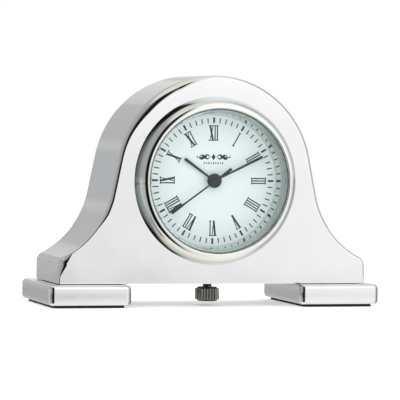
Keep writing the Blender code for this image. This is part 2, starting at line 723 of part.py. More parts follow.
def make_train(layout):
    """The wheels between the rotor and the centre. The seconds wheel turns on the dial's axis."""
    centre, third = layout["centre"], layout["third"]
    intermediate, rotor = layout["intermediate"], layout["rotor"]
    to_third, to_intermediate = direction_of(centre, third), direction_of(centre, intermediate)
    seconds_phase = centre_phase = 0.0

    wheel = gear(
        "seconds_wheel", SECONDS_TEETH, SECONDS_MODULE, seconds_phase, SECONDS_PLANE, centre
    )
    pinion = gear(
        "seconds_pinion", SECONDS_PINION, THIRD_MODULE, seconds_phase,
        (THIRD_PLANE[0] - PINION_OVERHANG, SECONDS_PLANE[0] + JOIN), centre,
    )
    steps = [
        (SECONDS_ARBOR, SECOND_HAND_FRONT - 0.15, BRIDGE_FRONT - SHOULDER_PLAY),
        (PIVOT, BRIDGE_FRONT - SHOULDER_PLAY, BRIDGE_BACK - 0.1),
    ]
    arbor = stepped_arbor("seconds_arbor", centre, steps)
    finish(join(wheel, pinion, arbor), "wheel_brass")

    third_phase = meshed_phase(seconds_phase, SECONDS_PINION, THIRD_TEETH, to_third)
    wheel = gear("third_wheel", THIRD_TEETH, THIRD_MODULE, third_phase, THIRD_PLANE, third)
    pinion_phase = meshed_phase(centre_phase, CENTRE_TEETH, THIRD_PINION, to_third)
    pinion = gear(
        "third_pinion", THIRD_PINION, CENTRE_MODULE, pinion_phase,
        (CENTRE_PLANE[0] - PINION_OVERHANG, THIRD_PLANE[0] + JOIN), third,
    )
    arbor = train_arbor("third_arbor", third)
    finish(join(wheel, pinion, arbor), "wheel_brass")

    middle_wall = (CENTRE_BORE + CENTRE_PIPE) / 2
    wheel = gear(
        "centre_wheel", CENTRE_TEETH, CENTRE_MODULE, centre_phase, CENTRE_PLANE, centre, middle_wall
    )
    span = (MINUTE_HAND_FRONT + 0.4, CENTRE_PLANE[1] + SHOULDER_PLAY)
    tube = pipe("centre_tube", CENTRE_BORE, CENTRE_PIPE, span)
    finish(join(wheel, tube), "wheel_brass")

    pinion_phase = meshed_phase(seconds_phase, SECONDS_TEETH, INTERMEDIATE_PINION, to_intermediate)
    wheel = gear(
        "intermediate_wheel", INTERMEDIATE_TEETH, ROTOR_MODULE, 0.0, INTERMEDIATE_PLANE, intermediate
    )
    pinion = gear(
        "intermediate_pinion", INTERMEDIATE_PINION, SECONDS_MODULE, pinion_phase,
        (SECONDS_PLANE[0] - PINION_OVERHANG, INTERMEDIATE_PLANE[0] + JOIN), intermediate,
    )
    arbor = train_arbor("intermediate_arbor", intermediate)
    finish(join(wheel, pinion, arbor), "wheel_brass")

    to_rotor = direction_of(intermediate, rotor)
    rotor_phase = meshed_phase(0.0, INTERMEDIATE_TEETH, ROTOR_TEETH, to_rotor)
    pinion = gear(
        "rotor", ROTOR_TEETH, ROTOR_MODULE, rotor_phase,
        (INTERMEDIATE_PLANE[0] - PINION_OVERHANG, INTERMEDIATE_PLANE[1] + PINION_OVERHANG), rotor,
    )
    magnet = post("magnet", MAGNET_RADIUS, rotor, MAGNET_PLANE, SMALL)
    finish(join(pinion, magnet, train_arbor("rotor_arbor", rotor)), "soft_iron")


def train_arbor(name, at):
    steps = [
        (PIVOT, WEB_FRONT + 0.15, WEB_BACK + SHOULDER_PLAY),
        (ARBOR, WEB_BACK + SHOULDER_PLAY, BRIDGE_FRONT - SHOULDER_PLAY),
        (PIVOT, BRIDGE_FRONT - SHOULDER_PLAY, BRIDGE_BACK - 0.1),
    ]
    return stepped_arbor(name, at, steps)


def make_motion_works(layout):
    """The wheels in front of the main plate, which drive the hour hand and set both hands."""
    minute, setting = layout["minute"], layout["setting"]
    to_minute, to_setting = direction_of((0, 0), minute), direction_of(minute, setting)
    middle_wall = (CANNON_BORE + CANNON_PIPE) / 2
    span = (MINUTE_PLANE[0] - 2 * PINION_OVERHANG, MINUTE_PLANE[1])
    cannon = gear("cannon_pinion", CANNON_TEETH, MINUTE_MODULE, 0.0, span, (0, 0), middle_wall)
    span = (MINUTE_HAND_FRONT - GAP, MINUTE_PLANE[1] - SHOULDER_PLAY / 2)
    sleeve = pipe("cannon_sleeve", CANNON_BORE, CANNON_PIPE, span)
    finish(join(cannon, sleeve), "wheel_brass")

    minute_phase = meshed_phase(0.0, CANNON_TEETH, MINUTE_TEETH, to_minute)
    wheel = gear(
        "minute_wheel", MINUTE_TEETH, MINUTE_MODULE, minute_phase, MINUTE_PLANE, minute, STUD_BORE
    )
    pinion_phase = meshed_phase(0.0, HOUR_TEETH, MINUTE_PINION, to_minute)
    span = (HOUR_PLANE[0] - PINION_OVERHANG, MINUTE_PLANE[0] + JOIN)
    pinion = gear(
        "minute_pinion", MINUTE_PINION, HOUR_MODULE, pinion_phase, span, minute, STUD_BORE
    )
    finish(join(wheel, pinion), "wheel_brass")

    middle_wall = (HOUR_BORE + HOUR_PIPE) / 2
    wheel = gear("hour_wheel", HOUR_TEETH, HOUR_MODULE, 0.0, HOUR_PLANE, (0, 0), middle_wall)
    span = (HOUR_HAND_FRONT - GAP, HOUR_PLANE[1] + GAP)
    sleeve = pipe("hour_sleeve", HOUR_BORE, HOUR_PIPE, span)
    finish(join(wheel, sleeve), "wheel_brass")

    phase = meshed_phase(minute_phase, MINUTE_TEETH, SETTING_TEETH, to_setting)
    wheel = gear(
        "setting_wheel", SETTING_TEETH, MINUTE_MODULE, phase, MINUTE_PLANE, setting, STUD_BORE
    )
    finish(wheel, "nickel_plate")


# --- Plates, electric parts and keyless works ------------------------------------------------------


def make_main_plate(layout):
    """A dished plate: its rim faces the dial, and its web carries the studs, pivots and pillars."""
    bore = CENTRE_PIPE + GAP
    profile = [
        (PLATE_RADIUS, MOVEMENT_FRONT),
        (PLATE_RADIUS, WEB_BACK),
        (bore, WEB_BACK),
        (bore, WEB_FRONT),
        (RIM_INNER, WEB_FRONT),
        (RIM_INNER, MOVEMENT_FRONT),
    ]
    plate = turned("main_plate", profile, (0, 0, DIAL_Z), sides=FINE)
    in_front, behind = WEB_FRONT + JOIN, WEB_BACK - JOIN
    studs = [
        post("minute_stud", STUD, layout["minute"], (HOUR_PLANE[0] - STUD_TIP, in_front)),
        post("setting_stud", STUD, layout["setting"], (MINUTE_PLANE[0] - STUD_TIP, in_front)),
        post("lever_stud", STUD, LEVER_PIVOT, (behind, LEVER_PLANE[1] + STUD_TIP)),
        post("yoke_stud", STUD, YOKE_PIVOT, (behind, LEVER_PLANE[1] + STUD_TIP)),
    ]
    pillar_back = BRIDGE_FRONT - SHOULDER_PLAY
    studs += [post("pillar", PILLAR_RADIUS, at, (behind, pillar_back)) for at in PILLARS]
    join(plate, *studs)
    holes = [
        post("pivot_hole", PIVOT_HOLE, layout[wheel], (WEB_FRONT - OVER, WEB_BACK + OVER))
        for wheel in ("third", "intermediate", "rotor")
    ]
    pillar_span = (WEB_BACK - JOIN, BRIDGE_FRONT + OVER)
    holes += [post("pillar_hole", PILLAR_HOLE, at, pillar_span) for at in PILLARS]
    clutch_half, clutch_front = CLUTCH_RADIUS + 0.1, STEM_Y - CLUTCH_RADIUS
    clutch_end, rim_bottom = CLUTCH_BOTTOM - 0.8, DIAL_Z - PLATE_RADIUS - OVER
    holes.append(
        block(
            "clutch_slot",
            (-clutch_half, clutch_front, clutch_end),
            (clutch_half, WEB_BACK + OVER, STEM_TOP + JOIN),
        )
    )
    stem_half = STEM_RADIUS + JOIN
    holes.append(
        block(
            "stem_slot",
            (-stem_half, STEM_Y - stem_half, rim_bottom),
            (stem_half, WEB_BACK + OVER, clutch_end + 2 * JOIN),
        )
    )
    finish(cut(plate, *holes), "nickel_plate")


def make_bridge(layout):
    bridge = post("train_bridge", BRIDGE_RADIUS, (0, 0), (BRIDGE_FRONT, BRIDGE_BACK), FINE)
    reach = (BRIDGE_FRONT - OVER, BRIDGE_BACK + OVER)
    cut(bridge, post("battery_well", BATTERY_RADIUS + BATTERY_WELL_PLAY, BATTERY_AT, reach, ROUND))
    for wheel in ("centre", "third", "intermediate", "rotor"):
        cut(bridge, post("bridge_pivot_hole", PIVOT_HOLE, layout[wheel], reach))
    finish(bridge, "nickel_plate")
    head, shank = (0.75, 0.3), (0.3, 1.6)
    for i, at in enumerate(PILLARS, 1):
        cut(bridge, post("bridge_screw_hole", PILLAR_HOLE, at, reach))
        head_at = (at[0], BRIDGE_BACK + GAP + head[1], DIAL_Z + at[1])
        screw(f"bridge_screw_{i}", head_at, (0, -1, 0), head, shank)


def make_battery():
    front, back, radius = BATTERY_FRONT, BATTERY_BACK, BATTERY_RADIUS
    profile = [
        (0.0, front),
        (radius - 0.7, front),
        (radius - 0.6, front + 0.25),
        (radius, front + 0.35),
        (radius, back),
        (0.0, back),
    ]
    origin = (BATTERY_AT[0], 0, DIAL_Z + BATTERY_AT[1])
    finish(turned("battery", profile, origin, sides=ROUND), "battery_steel")
    # The clamp is a strap behind the battery, with a leg down to the bridge.
    x, z = BATTERY_AT[0], DIAL_Z + BATTERY_AT[1]
    left, right = x - CLAMP_HALF_WIDTH, x + CLAMP_HALF_WIDTH
    strap_front, strap_back = back + GAP, back + GAP + CLAMP_THICKNESS
    low, high = z - radius - 1.6, z + 3.2
    leg_front, leg_top = BRIDGE_BACK + GAP, low + 2 * CLAMP_THICKNESS
    strap = block("battery_clamp", (left, strap_front, low), (right, strap_back, high))
    leg = block("clamp_leg", (left, leg_front, low), (right, strap_back, leg_top))
    finish(join(strap, leg), "plated_steel")


def make_electronics(layout):
    """The circuit board follows the movement's left side, behind the bridge."""
    front, back = BRIDGE_BACK + GAP, BRIDGE_BACK + GAP + BOARD_THICKNESS
    start, end, steps = math.radians(205), math.radians(335), 12
    sweep = [start + (end - start) * i / steps for i in range(steps + 1)]
    outline = [polar(BOARD_OUTER, a) for a in sweep]
    outline += [polar(BOARD_INNER, a) for a in reversed(sweep)]
    # It stops clear of the screw heads and of the rotor's pivot.
    board = flat("circuit_board", [outline], (front, back))
    through = (front - OVER, back + OVER)
    clearance = post("screw_clearance", 1.1, PILLARS[2], through)
    rotor_window = post("rotor_window", 0.5, layout["rotor"], through)
    finish(cut(board, clearance, rotor_window), "circuit_green")
    chip_at, chip_height = polar(8.0, math.radians(262)), 0.55
    chip = post("timing_chip", 1.1, chip_at, (back + GAP, back + GAP + chip_height), SMALL)
    round_edges(chip, 0.2, 1)
    finish(chip, "chip_black")
    x, z = polar(8.2, math.radians(290))
    can_radius, can_bottom, can_length = 0.7, DIAL_Z + z - 1.0, 5.0
    y = back + GAP + can_radius
    can = cylinder(
        "quartz_crystal", can_radius, (x, y, can_bottom), (x, y, can_bottom + can_length)
    )
    round_edges(can, 0.15, 1)
    finish(can, "plated_steel")


def make_coil(layout):
    """A copper winding on an iron core, whose two ends lie on the stator's."""
    x, low, high = COIL_X, COIL_BOTTOM, COIL_TOP
    half_bar, half_lug, lug = 0.3, 0.8, 1.3
    shoulder_low, shoulder_high = low - JOIN, high + JOIN
    right_half = [
        (half_lug, low - lug), (half_lug, shoulder_low), (half_bar, shoulder_low),
        (half_bar, shoulder_high), (half_lug, shoulder_high), (half_lug, high + lug),
    ]
    outline = [(x + across, z) for across, z in right_half]
    outline += [(x - across, z) for across, z in reversed(right_half)]
    finish(flat("coil_core", [outline], CORE_PLANE), "soft_iron")
    bore = math.hypot(half_bar, (CORE_PLANE[1] - CORE_PLANE[0]) / 2) + GAP
    profile = [(COIL_RADIUS, low), (COIL_RADIUS, high), (bore, high), (bore, low)]
    origin = (x, sum(CORE_PLANE) / 2, DIAL_Z)
    winding = turned("coil_winding", profile, origin, along_y=False, sides=ROUND // 2)
    finish(winding, "coil_copper")
    # The stator is a C that opens towards the coil, with the rotor's hole in its upper arm.
    left, right, spine = x - half_lug, -6.4, 0.9
    outline = [
        (left, high + 0.2), (left, high + lug + 0.7), (-4.3, 5.3), (-3.75, 4.4), (-3.9, 3.1),
        (-5.2, 2.3), (right, 2.2), (right, low - lug), (left, low - lug), (left, low - 0.2),
        (right - spine, low - 0.2), (right - spine, high + 0.2),
    ]
    rotor_hole = circle(MAGNET_RADIUS + 0.25, SMALL, layout["rotor"])
    stator = flat("stator", [outline, rotor_hole], (STATOR_FRONT, CORE_PLANE[0] - SHOULDER_PLAY))
    finish(stator, "soft_iron")


def make_arm(name, pivot, tip_x, half_width, hub):
    """A flat lever from its pivot to the stem, with a round hub."""
    tip, root = tip_x - pivot[0], -math.sqrt(hub**2 - half_width**2)
    start, end, steps = math.atan2(root, -half_width), math.atan2(root, half_width), 10
    sweep = [start + math.tau + (end - start - math.tau) * i / steps for i in range(steps + 1)]
    outline = [(tip, -half_width)] + [polar(hub, angle) for angle in sweep] + [(tip, half_width)]
    arm = flat(name, [outline, circle(STUD_BORE, TINY)], LEVER_PLANE, pivot)
    finish(arm, "plated_steel")


def make_lever_and_yoke():
    """The lever follows the stem's groove, and the yoke's finger stands in the clutch's waist."""
    make_arm("setting_lever", LEVER_PIVOT, LEVER_TIP, 0.2, 0.8)
    make_arm("yoke", YOKE_PIVOT, YOKE_TIP, 0.1, 0.75)


def make_clutch_and_stem():
    axis = (0, STEM_Y, 0)
    waist_top, waist_bottom = CLUTCH_TOP - CLUTCH_RIM, CLUTCH_BOTTOM + CLUTCH_RIM
    core_top = CLUTCH_TOP - JOIN
    profile = [
        (0.0, core_top),
        (CLUTCH_WAIST, core_top),
        (CLUTCH_WAIST, waist_bottom),
        (CLUTCH_RADIUS, waist_bottom),
        (CLUTCH_RADIUS, CLUTCH_BOTTOM),
        (0.0, CLUTCH_BOTTOM),
    ]
    clutch = turned("clutch_pinion", profile, axis, along_y=False, sides=SMALL)
    module = CLUTCH_RADIUS / (CLUTCH_TEETH / 2 + ADDENDUM)
    outline = gear_outline(CLUTCH_TEETH, module, 0.0)
    teeth = flat("clutch_teeth", [outline], (waist_top, CLUTCH_TOP), along_y=False)
    half = STEM_SQUARE / 2 + SHOULDER_PLAY
    low, high = CLUTCH_BOTTOM - OVER, CLUTCH_TOP + OVER
    bore = block("clutch_bore", (-half, STEM_Y - half, low), (half, STEM_Y + half, high))
    finish(cut(join(clutch, teeth), bore), "plated_steel")

    groove_top, groove_bottom = GROOVE_Z + GROOVE_HALF, GROOVE_Z - GROOVE_HALF
    profile = [
        (0.0, SQUARE_END),
        (STEM_RADIUS, SQUARE_END),
        (STEM_RADIUS, groove_top),
        (GROOVE_RADIUS, groove_top),
        (GROOVE_RADIUS, groove_bottom),
        (STEM_RADIUS, groove_bottom),
        (STEM_RADIUS, STEM_BOTTOM),
        (0.0, STEM_BOTTOM),
    ]
    stem = turned("winding_stem", profile, axis, along_y=False, sides=SMALL)
    half, low = STEM_SQUARE / 2, SQUARE_END - JOIN
    square = block("stem_square", (-half, STEM_Y - half, low), (half, STEM_Y + half, STEM_TOP))
    finish(join(stem, square), "plated_steel")


def make_crown():
    """A fluted knob with a smaller plain disc at each end, screwed onto the stem."""
    valley = CROWN_RADIUS - CROWN_FLUTE_DEPTH
    one_flute = ((0.0, CROWN_RADIUS), (0.45, CROWN_RADIUS), (0.6, valley), (0.85, valley))
    flutes = [
        polar(radius, math.tau * (i + share) / CROWN_FLUTES)
        for i in range(CROWN_FLUTES)
        for share, radius in one_flute
    ]
    span = (CROWN_BOTTOM + CROWN_END_HEIGHT, CROWN_TOP - CROWN_END_HEIGHT)
    crown = flat("crown", [flutes], span, along_y=False)
    low, high = CROWN_BOTTOM, CROWN_TOP
    profile = [(0.0, low), (CROWN_END, low), (CROWN_END, high), (0.0, high)]
    core = turned("crown_core", profile, (0, STEM_Y, 0), along_y=False, sides=SMALL)
    low, high = STEM_BOTTOM - GAP, CROWN_TOP + OVER
    bore = cylinder("crown_bore", STEM_RADIUS + GAP, (0, STEM_Y, low), (0, STEM_Y, high), SMALL)
    finish(cut(join(crown, core), bore), "crown_metal")
    flange_bottom = CASE_BASE + CASE_WALL + GAP
    flange_top = flange_bottom + TUBE_FLANGE_HEIGHT
    profile = [
        (TUBE_RADIUS, TUBE_BOTTOM),
        (TUBE_BORE, TUBE_BOTTOM),
        (TUBE_BORE, flange_top),
        (TUBE_FLANGE_RADIUS, flange_top),
        (TUBE_FLANGE_RADIUS, flange_bottom),
        (TUBE_RADIUS, flange_bottom),
    ]
    tube = turned("crown_tube", profile, (0, STEM_Y, 0), along_y=False, sides=SMALL)
    finish(tube, "crown_metal")


def main():
    for name in MATERIALS:
        make_material(name)
    make_case_body()
    make_back_plate()
    make_battery_cover()
    make_foot(-1, "left_foot")
    make_foot(1, "right_foot")
    make_bezel()
    make_glass()
    make_reflector()
    make_holder(make_dial())
    make_hands()
    layout = train_layout()
    make_train(layout)
    make_motion_works(layout)
    make_main_plate(layout)
    make_bridge(layout)
    make_battery()
    make_electronics(layout)
    make_coil(layout)
    make_lever_and_yoke()
    make_clutch_and_stem()
    make_crown()


clear_scene()
PARTS = make_collection("mantel_clock")
CUTTERS = make_collection("cutters", hidden=True)
main()
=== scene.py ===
"""The looks of a miniature mantel clock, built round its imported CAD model.

Lengths are in millimetres and are turned into metres where each mesh is made. The clock stands on
z = 0 with its dial towards -Y. Places come from the CAD nodes' boxes, and each piece's mesh is made
in the row frame, so a material's object coordinates are the clock's own coordinates in metres.
"""

import json
import math

import bmesh
import bpy
from mathutils import Matrix, Vector


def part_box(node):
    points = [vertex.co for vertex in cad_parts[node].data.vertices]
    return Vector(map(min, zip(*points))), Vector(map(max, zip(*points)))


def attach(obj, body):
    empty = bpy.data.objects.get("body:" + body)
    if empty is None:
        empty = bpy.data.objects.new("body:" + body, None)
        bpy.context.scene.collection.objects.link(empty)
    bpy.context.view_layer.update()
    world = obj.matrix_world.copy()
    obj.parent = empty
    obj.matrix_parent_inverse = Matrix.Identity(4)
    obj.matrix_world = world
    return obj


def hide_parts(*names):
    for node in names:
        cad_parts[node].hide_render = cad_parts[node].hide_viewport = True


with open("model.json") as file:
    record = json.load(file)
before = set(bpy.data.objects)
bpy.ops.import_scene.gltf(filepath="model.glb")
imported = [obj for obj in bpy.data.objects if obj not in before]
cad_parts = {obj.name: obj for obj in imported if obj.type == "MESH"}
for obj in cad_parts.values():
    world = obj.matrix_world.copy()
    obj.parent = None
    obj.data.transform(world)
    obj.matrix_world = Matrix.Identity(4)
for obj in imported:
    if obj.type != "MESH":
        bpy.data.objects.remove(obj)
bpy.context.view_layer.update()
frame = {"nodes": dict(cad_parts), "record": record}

MM = 0.001
WELD = 1e-7  # metres, within which two points become one
OVER = 1.0  # how far a cutter runs past the face it cuts
GAP = 0.05  # play between two pieces
LEVEL = math.radians(0.3)  # faces that meet at less than this are one face

# Case outline: an arch, flanks that curve the other way, and upright sides
ARCH_RADIUS = 23.65
FLANK_X, FLANK_RADIUS = 45.3, 20.75
ARCH_STEPS, FLANK_STEPS, SIDE_STEPS = 56, 28, 20
CORNER_RADIUS, CORNER_STEPS = 2.2, 14  # where a flank meets its side
BASE_CORNER_RADIUS, BASE_CORNER_STEPS = 0.35, 5
CASE_WALL, REBATE_INSET, INNER_CORNER_RADIUS = 1.8, 0.95, 0.4

# Radii of the rounded edges. Polishing has worn the case's front edge unevenly: (share of the way
# along each curve, radius), from the top down to the foot.
EDGE_STEPS = 12
LEFT_EDGE = {
    "arch": ((0.0, 0.8), (0.3, 2.1), (0.62, 2.1), (0.85, 1.3), (1.0, 1.1)),
    "flank": ((0.0, 1.1), (0.25, 1.0), (0.45, 0.35), (0.90, 0.3), (1.0, 1.8)),
    "corner": ((0.0, 1.8), (1.0, 2.1)),
    "side": ((0.0, 2.1), (0.65, 0.3), (1.0, 0.3)),
}
RIGHT_EDGE = {
    "arch": ((0.0, 0.8), (1.0, 1.0)),
    "flank": ((0.0, 1.0), (1.0, 0.7)),
    "corner": ((0.0, 0.7), (1.0, 0.7)),
    "side": ((0.0, 0.7), (0.8, 0.5), (1.0, 0.3)),
}
CASE_BACK_EDGE = 0.4
FOOT_CORNER, FOOT_EDGE, FOOT_EDGE_STEPS = 1.35, 0.9, 6
PAD_CORNER, PAD_EDGE = 0.8, 0.06
PLATE_EDGE = 0.18

# Screws and the bosses and holes for them. Everything but a length or depth is a radius.
PLATE_SHANK, PLATE_BOSS, PLATE_HOLE, PLATE_THROUGH, PLATE_RECESS = 0.75, 1.9, 0.8, 0.9, 1.75
FOOT_SHANK, FOOT_BOSS, FOOT_HOLE, FOOT_THROUGH, FOOT_RECESS = 0.92, 2.1, 0.97, 1.07, 2.15
PLATE_HEAD_LENGTH, FOOT_HEAD_LENGTH = 0.5, 1.2
PLATE_RECESS_DEPTH, FOOT_RECESS_DEPTH = 0.6, 1.4
PLATE_BOSS_START = 3.0  # Y where the plate's bosses begin
HOLE_SPARE, BOSS_SPARE = 0.3, 0.8  # how far a hole and its boss go on past the screw's end

# The round hatch in the back, its cover and the crown's tube, as radii
HATCH, HATCH_LEAD = 14.6, 0.2
COVER_PLUG, COVER_PLUG_WALL = 14.5, 0.9
COVER_DISH, COVER_DISH_DEPTHS, COVER_RIM_ROUND = (10.6, 10.9, 11.3), (0.12, 0.1), 0.35
COVER_NOTCH = (2.0, 0.35, 0.8)  # half its width, its depth and its height
TUBE_HOLE, TUBE, TUBE_BORE, STEM_HOLE = 1.1, 1.05, 0.56, 0.75

# Bezel, glass and dial, as radii from the dial's axis
CASE_BORE, BARREL_RADIUS, BARREL_BORE, LIP_RADIUS = 17.95, 17.85, 17.05, 16.78
SEAT_BEHIND_CREST = 1.87
CREST_RADIUS, CREST_ROUND, CREST_ANGLE = 17.08, 2.0, 28.0
BEZEL_TURN_ANGLE, BEZEL_FOOT_ANGLE, BEZEL_TURN_STEP = 44.0, 78.0, (0.07, 0.05)
WALL_TOP, WALL_BEND, WALL_FOOT = 16.4, 15.75, 15.2
WALL_BEND_HEIGHT, WALL_TOP_HEIGHT = 2.65, 3.77
TICK_INNER, HOUR_TICK, MINUTE_TICK = 13.4, (14.75, 0.46), (14.6, 0.26)  # (outer end, width)
PRINT_HEIGHT = 0.015
DIAL_THICKNESS, DIAL_HOLE, DIAL_FOOT, DIAL_FOOT_X, DIAL_FOOT_ROOT = 0.4, 1.1, 0.4, 14.3, 0.1

# Roman numerals: a stem is a bar, and V and X have one heavy and one light stroke
NUMERALS = ("XII", "I", "II", "III", "IIII", "V", "VI", "VII", "VIII", "IX", "X", "XI")
NUMERAL_INNER, NUMERAL_OUTER = 9.3, 12.9
STEM, HEAVY, LIGHT = 0.28, 0.46, 0.2
STEM_PITCH, LETTER_WIDTH = 0.56, 1.15
SERIF_HEIGHT, SERIF_REACH = 0.2, 0.14

# The dial's ornament: heights above the axis, and each scroll's (start, reach, lift)
SCROLL_Z, ROW_Z, ROW_PITCH, OUTER_LOZENGE_X = 5.5, 4.1, 0.56, 3.95
MIDDLE_LOZENGE, OUTER_LOZENGE = (0.5, 0.75), (0.22, 0.3)
ROW_LOZENGES = ((0.17, 0.36), (0.17, 0.26))
SCROLLS = ((0.75, 2.9, 0.5), (0.9, 2.5, -0.42), (1.6, 1.9, 0.16))
SCROLL_STEPS, SCROLL_THIN, SCROLL_SWELL = 16, 0.1, 0.32

# Hands. Each arm lists (distance, half width) from the axis outwards.
HOUR_ARM = ((0.0, 0.24), (1.6, 0.22), (8.45, 0.34), (8.75, 0.28))
MINUTE_ARM = ((0.0, 0.2), (1.6, 0.18), (12.65, 0.32), (12.95, 0.26))
SECOND_ARM = ((0.0, 0.18), (0.5, 0.17), (8.8, 0.19), (10.2, 0.3), (12.75, 0.32), (12.95, 0.26))
SECOND_TAIL = ((0.0, 0.14), (0.5, 0.15), (4.8, 0.36))
HUB_RIM, HAND_EDGE = 0.05, 0.04
TIP_REACH = 0.4  # how close to a hand's furthest point its tip's other points are

# Crown
FLUTES, FLUTE_DEPTH, FLUTE_STEPS = 24, 0.32, 8
KNOB_INSET, KNOB_EDGE, CORE_RADIUS, CORE_EDGE = 0.35, 0.16, 2.35, 0.18
CROWN_BORE, CROWN_BORE_FLOOR = 0.55, 2.45

# Camera: where it looks, from where, and its 36 mm sensor's lens
CAMERA_TARGET = (-0.26, 0.48, 24.49)
CAMERA_AZIMUTH, CAMERA_ELEVATION, CAMERA_ROLL = -16.8, 1.91, 0.89
CAMERA_DISTANCE, CAMERA_LENS = 645.0, 245.6


# --- Places taken from the frame ---


def box_mm(node):
    low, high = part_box(node)
    return low / MM, high / MM


def middle(node):
    low, high = box_mm(node)
    return (low + high) / 2


CASE_LOW, CASE_HIGH = box_mm("case_body")
PLATE_LOW, PLATE_HIGH = box_mm("back_plate")
DIAL_LOW, DIAL_HIGH = box_mm("dial")
BEZEL_LOW, BEZEL_HIGH = box_mm("bezel")
ARCH_Z = CASE_HIGH.z - ARCH_RADIUS
DIAL_Z = middle("bezel").z
STEM_Y = middle("crown").y
HOLLOW_FRONT = CASE_LOW.y + CASE_WALL


# --- Mesh helpers ---


def polar(radius, angle):
    """A point (x, z) at this clockwise angle from 12 o'clock, seen from the front."""
    return radius * math.sin(angle), radius * math.cos(angle)


def blend(a, b, share):
    return a + (b - a) * share


def arc(centre, radii, start, end, steps):
    """Points of an ellipse's arc, with angles in degrees from the first axis."""
    points = []
    for i in range(steps + 1):
        angle = math.radians(blend(start, end, i / steps))
        across, up = radii[0] * math.cos(angle), radii[1] * math.sin(angle)
        points.append((centre[0] + across, centre[1] + up))
    return points


def add_object(name, data):
    obj = bpy.data.objects.new(name, data)
    bpy.context.scene.collection.objects.link(obj)
    return obj


def finish_shape(name, shape, mesh=None):
    """An object with this bmesh's faces."""
    mesh = mesh or bpy.data.meshes.new(name)
    mesh.name = name
    shape.to_mesh(mesh)
    shape.free()
    return add_object(name, mesh)


def stand(at, along, along_y):
    """The matrix that turns local Z to the world's Y or Z, at this place across the axis."""
    if along_y:
        move = Matrix.Translation((at[0] * MM, along * MM, at[1] * MM))
        return move @ Matrix.Rotation(-math.pi / 2, 4, "X")
    return Matrix.Translation((at[0] * MM, at[1] * MM, along * MM))


def evaluated(obj):
    """The object's mesh with its modifiers applied."""
    bpy.context.view_layer.update()
    graph = bpy.context.evaluated_depsgraph_get()
    return bpy.data.meshes.new_from_object(obj.evaluated_get(graph))


def smooth(mesh, angle=32.0):
    mesh.shade_smooth()
    mesh.set_sharp_from_angle(angle=math.radians(angle))


def settle(obj, weighted=True):
    """Applies the modifiers, then shades the result so that flat faces stay flat in reflections."""
    mesh = evaluated(obj)
    obj.modifiers.clear()
    obj.data = mesh
    mesh.name = obj.name
    smooth(mesh)
    if weighted:
        normals = obj.modifiers.new("normals", "WEIGHTED_NORMAL")
        normals.keep_sharp = True
    return obj


def turned(name, profile, at, along_y=True, sides=128):
    """A body of revolution. The profile lists (radius, place along the axis) around the solid.

    The axis runs along Y through (x, z), or along Z through (x, y). A solid with no hole starts and
    ends on the axis.
    """
    shape = bmesh.new()
    ring = [shape.verts.new((radius * MM, 0.0, along * MM)) for radius, along in profile]
    edges = [shape.edges.new(pair) for pair in zip(ring, ring[1:])]
    if profile[0][0] > 0:
        edges.append(shape.edges.new((ring[-1], ring[0])))
    bmesh.ops.spin(
        shape, geom=ring + edges, axis=(0, 0, 1), angle=math.tau, steps=sides, use_merge=True
    )
    bmesh.ops.remove_doubles(shape, verts=shape.verts, dist=WELD)
    bmesh.ops.recalc_face_normals(shape, faces=shape.faces)
    bmesh.ops.transform(shape, matrix=stand(at, 0.0, along_y), verts=shape.verts)
    obj = finish_shape(name, shape)
    smooth(obj.data)
    return obj


def flat(name, outline, span, at=(0.0, 0.0), along_y=True):
    """A plate cut to an outline, between the ends of its span.

    Along Y, the outline's points and at are (x, z). Otherwise they are (x, y), and it spans Z.
    """
    curve = bpy.data.curves.new(name, "CURVE")
    curve.dimensions = "2D"
    curve.fill_mode = "BOTH"
    curve.extrude = (span[1] - span[0]) / 2 * MM
    spline = curve.splines.new("POLY")
    spline.points.add(len(outline) - 1)
    spline.use_cyclic_u = True
    for point, (across, up) in zip(spline.points, outline):
        point.co = (across * MM, (-up if along_y else up) * MM, 0.0, 1.0)
    guide = add_object(name + "_outline", curve)
    mesh = evaluated(guide)
    bpy.data.objects.remove(guide, do_unlink=True)
    shape = bmesh.new()
    shape.from_mesh(mesh)
    bmesh.ops.remove_doubles(shape, verts=shape.verts, dist=WELD)
    bmesh.ops.dissolve_limit(shape, angle_limit=LEVEL, verts=shape.verts, edges=shape.edges)
    bmesh.ops.recalc_face_normals(shape, faces=shape.faces)
    place = stand(at, (span[0] + span[1]) / 2, along_y)
    bmesh.ops.transform(shape, matrix=place, verts=shape.verts)
    return finish_shape(name, shape, mesh)


def block(name, low, high):
    shape = bmesh.new()
    bmesh.ops.create_cube(shape, size=1.0)
    size = [(b - a) * MM for a, b in zip(low, high)]
    centre = [(a + b) / 2 * MM for a, b in zip(low, high)]
    bmesh.ops.scale(shape, vec=size, verts=shape.verts)
    bmesh.ops.translate(shape, vec=centre, verts=shape.verts)
    return finish_shape(name, shape)


def post(name, radius, at, span, along_y=True, sides=48):
    profile = [(0.0, span[0]), (radius, span[0]), (radius, span[1]), (0.0, span[1])]
    return turned(name, profile, at, along_y, sides)


def bevel(obj, width, steps=3, angle=30.0):
    edges = obj.modifiers.new("edges", "BEVEL")
    edges.width = width * MM
    edges.segments = steps
    edges.limit_method = "ANGLE"
    edges.angle_limit = math.radians(angle)


def combine(obj, others, operation):
    """Joins or cuts at once, and removes the other shapes."""
    for other in others:
        boolean = obj.modifiers.new(other.name, "BOOLEAN")
        boolean.operation = operation
        boolean.solver = "EXACT"
        boolean.object = other
    settle(obj, weighted=False)
    for other in others:
        bpy.data.objects.remove(other, do_unlink=True)
    return obj


def join(obj, *others):
    return combine(obj, others, "UNION")


def cut(obj, *others):
    return combine(obj, others, "DIFFERENCE")


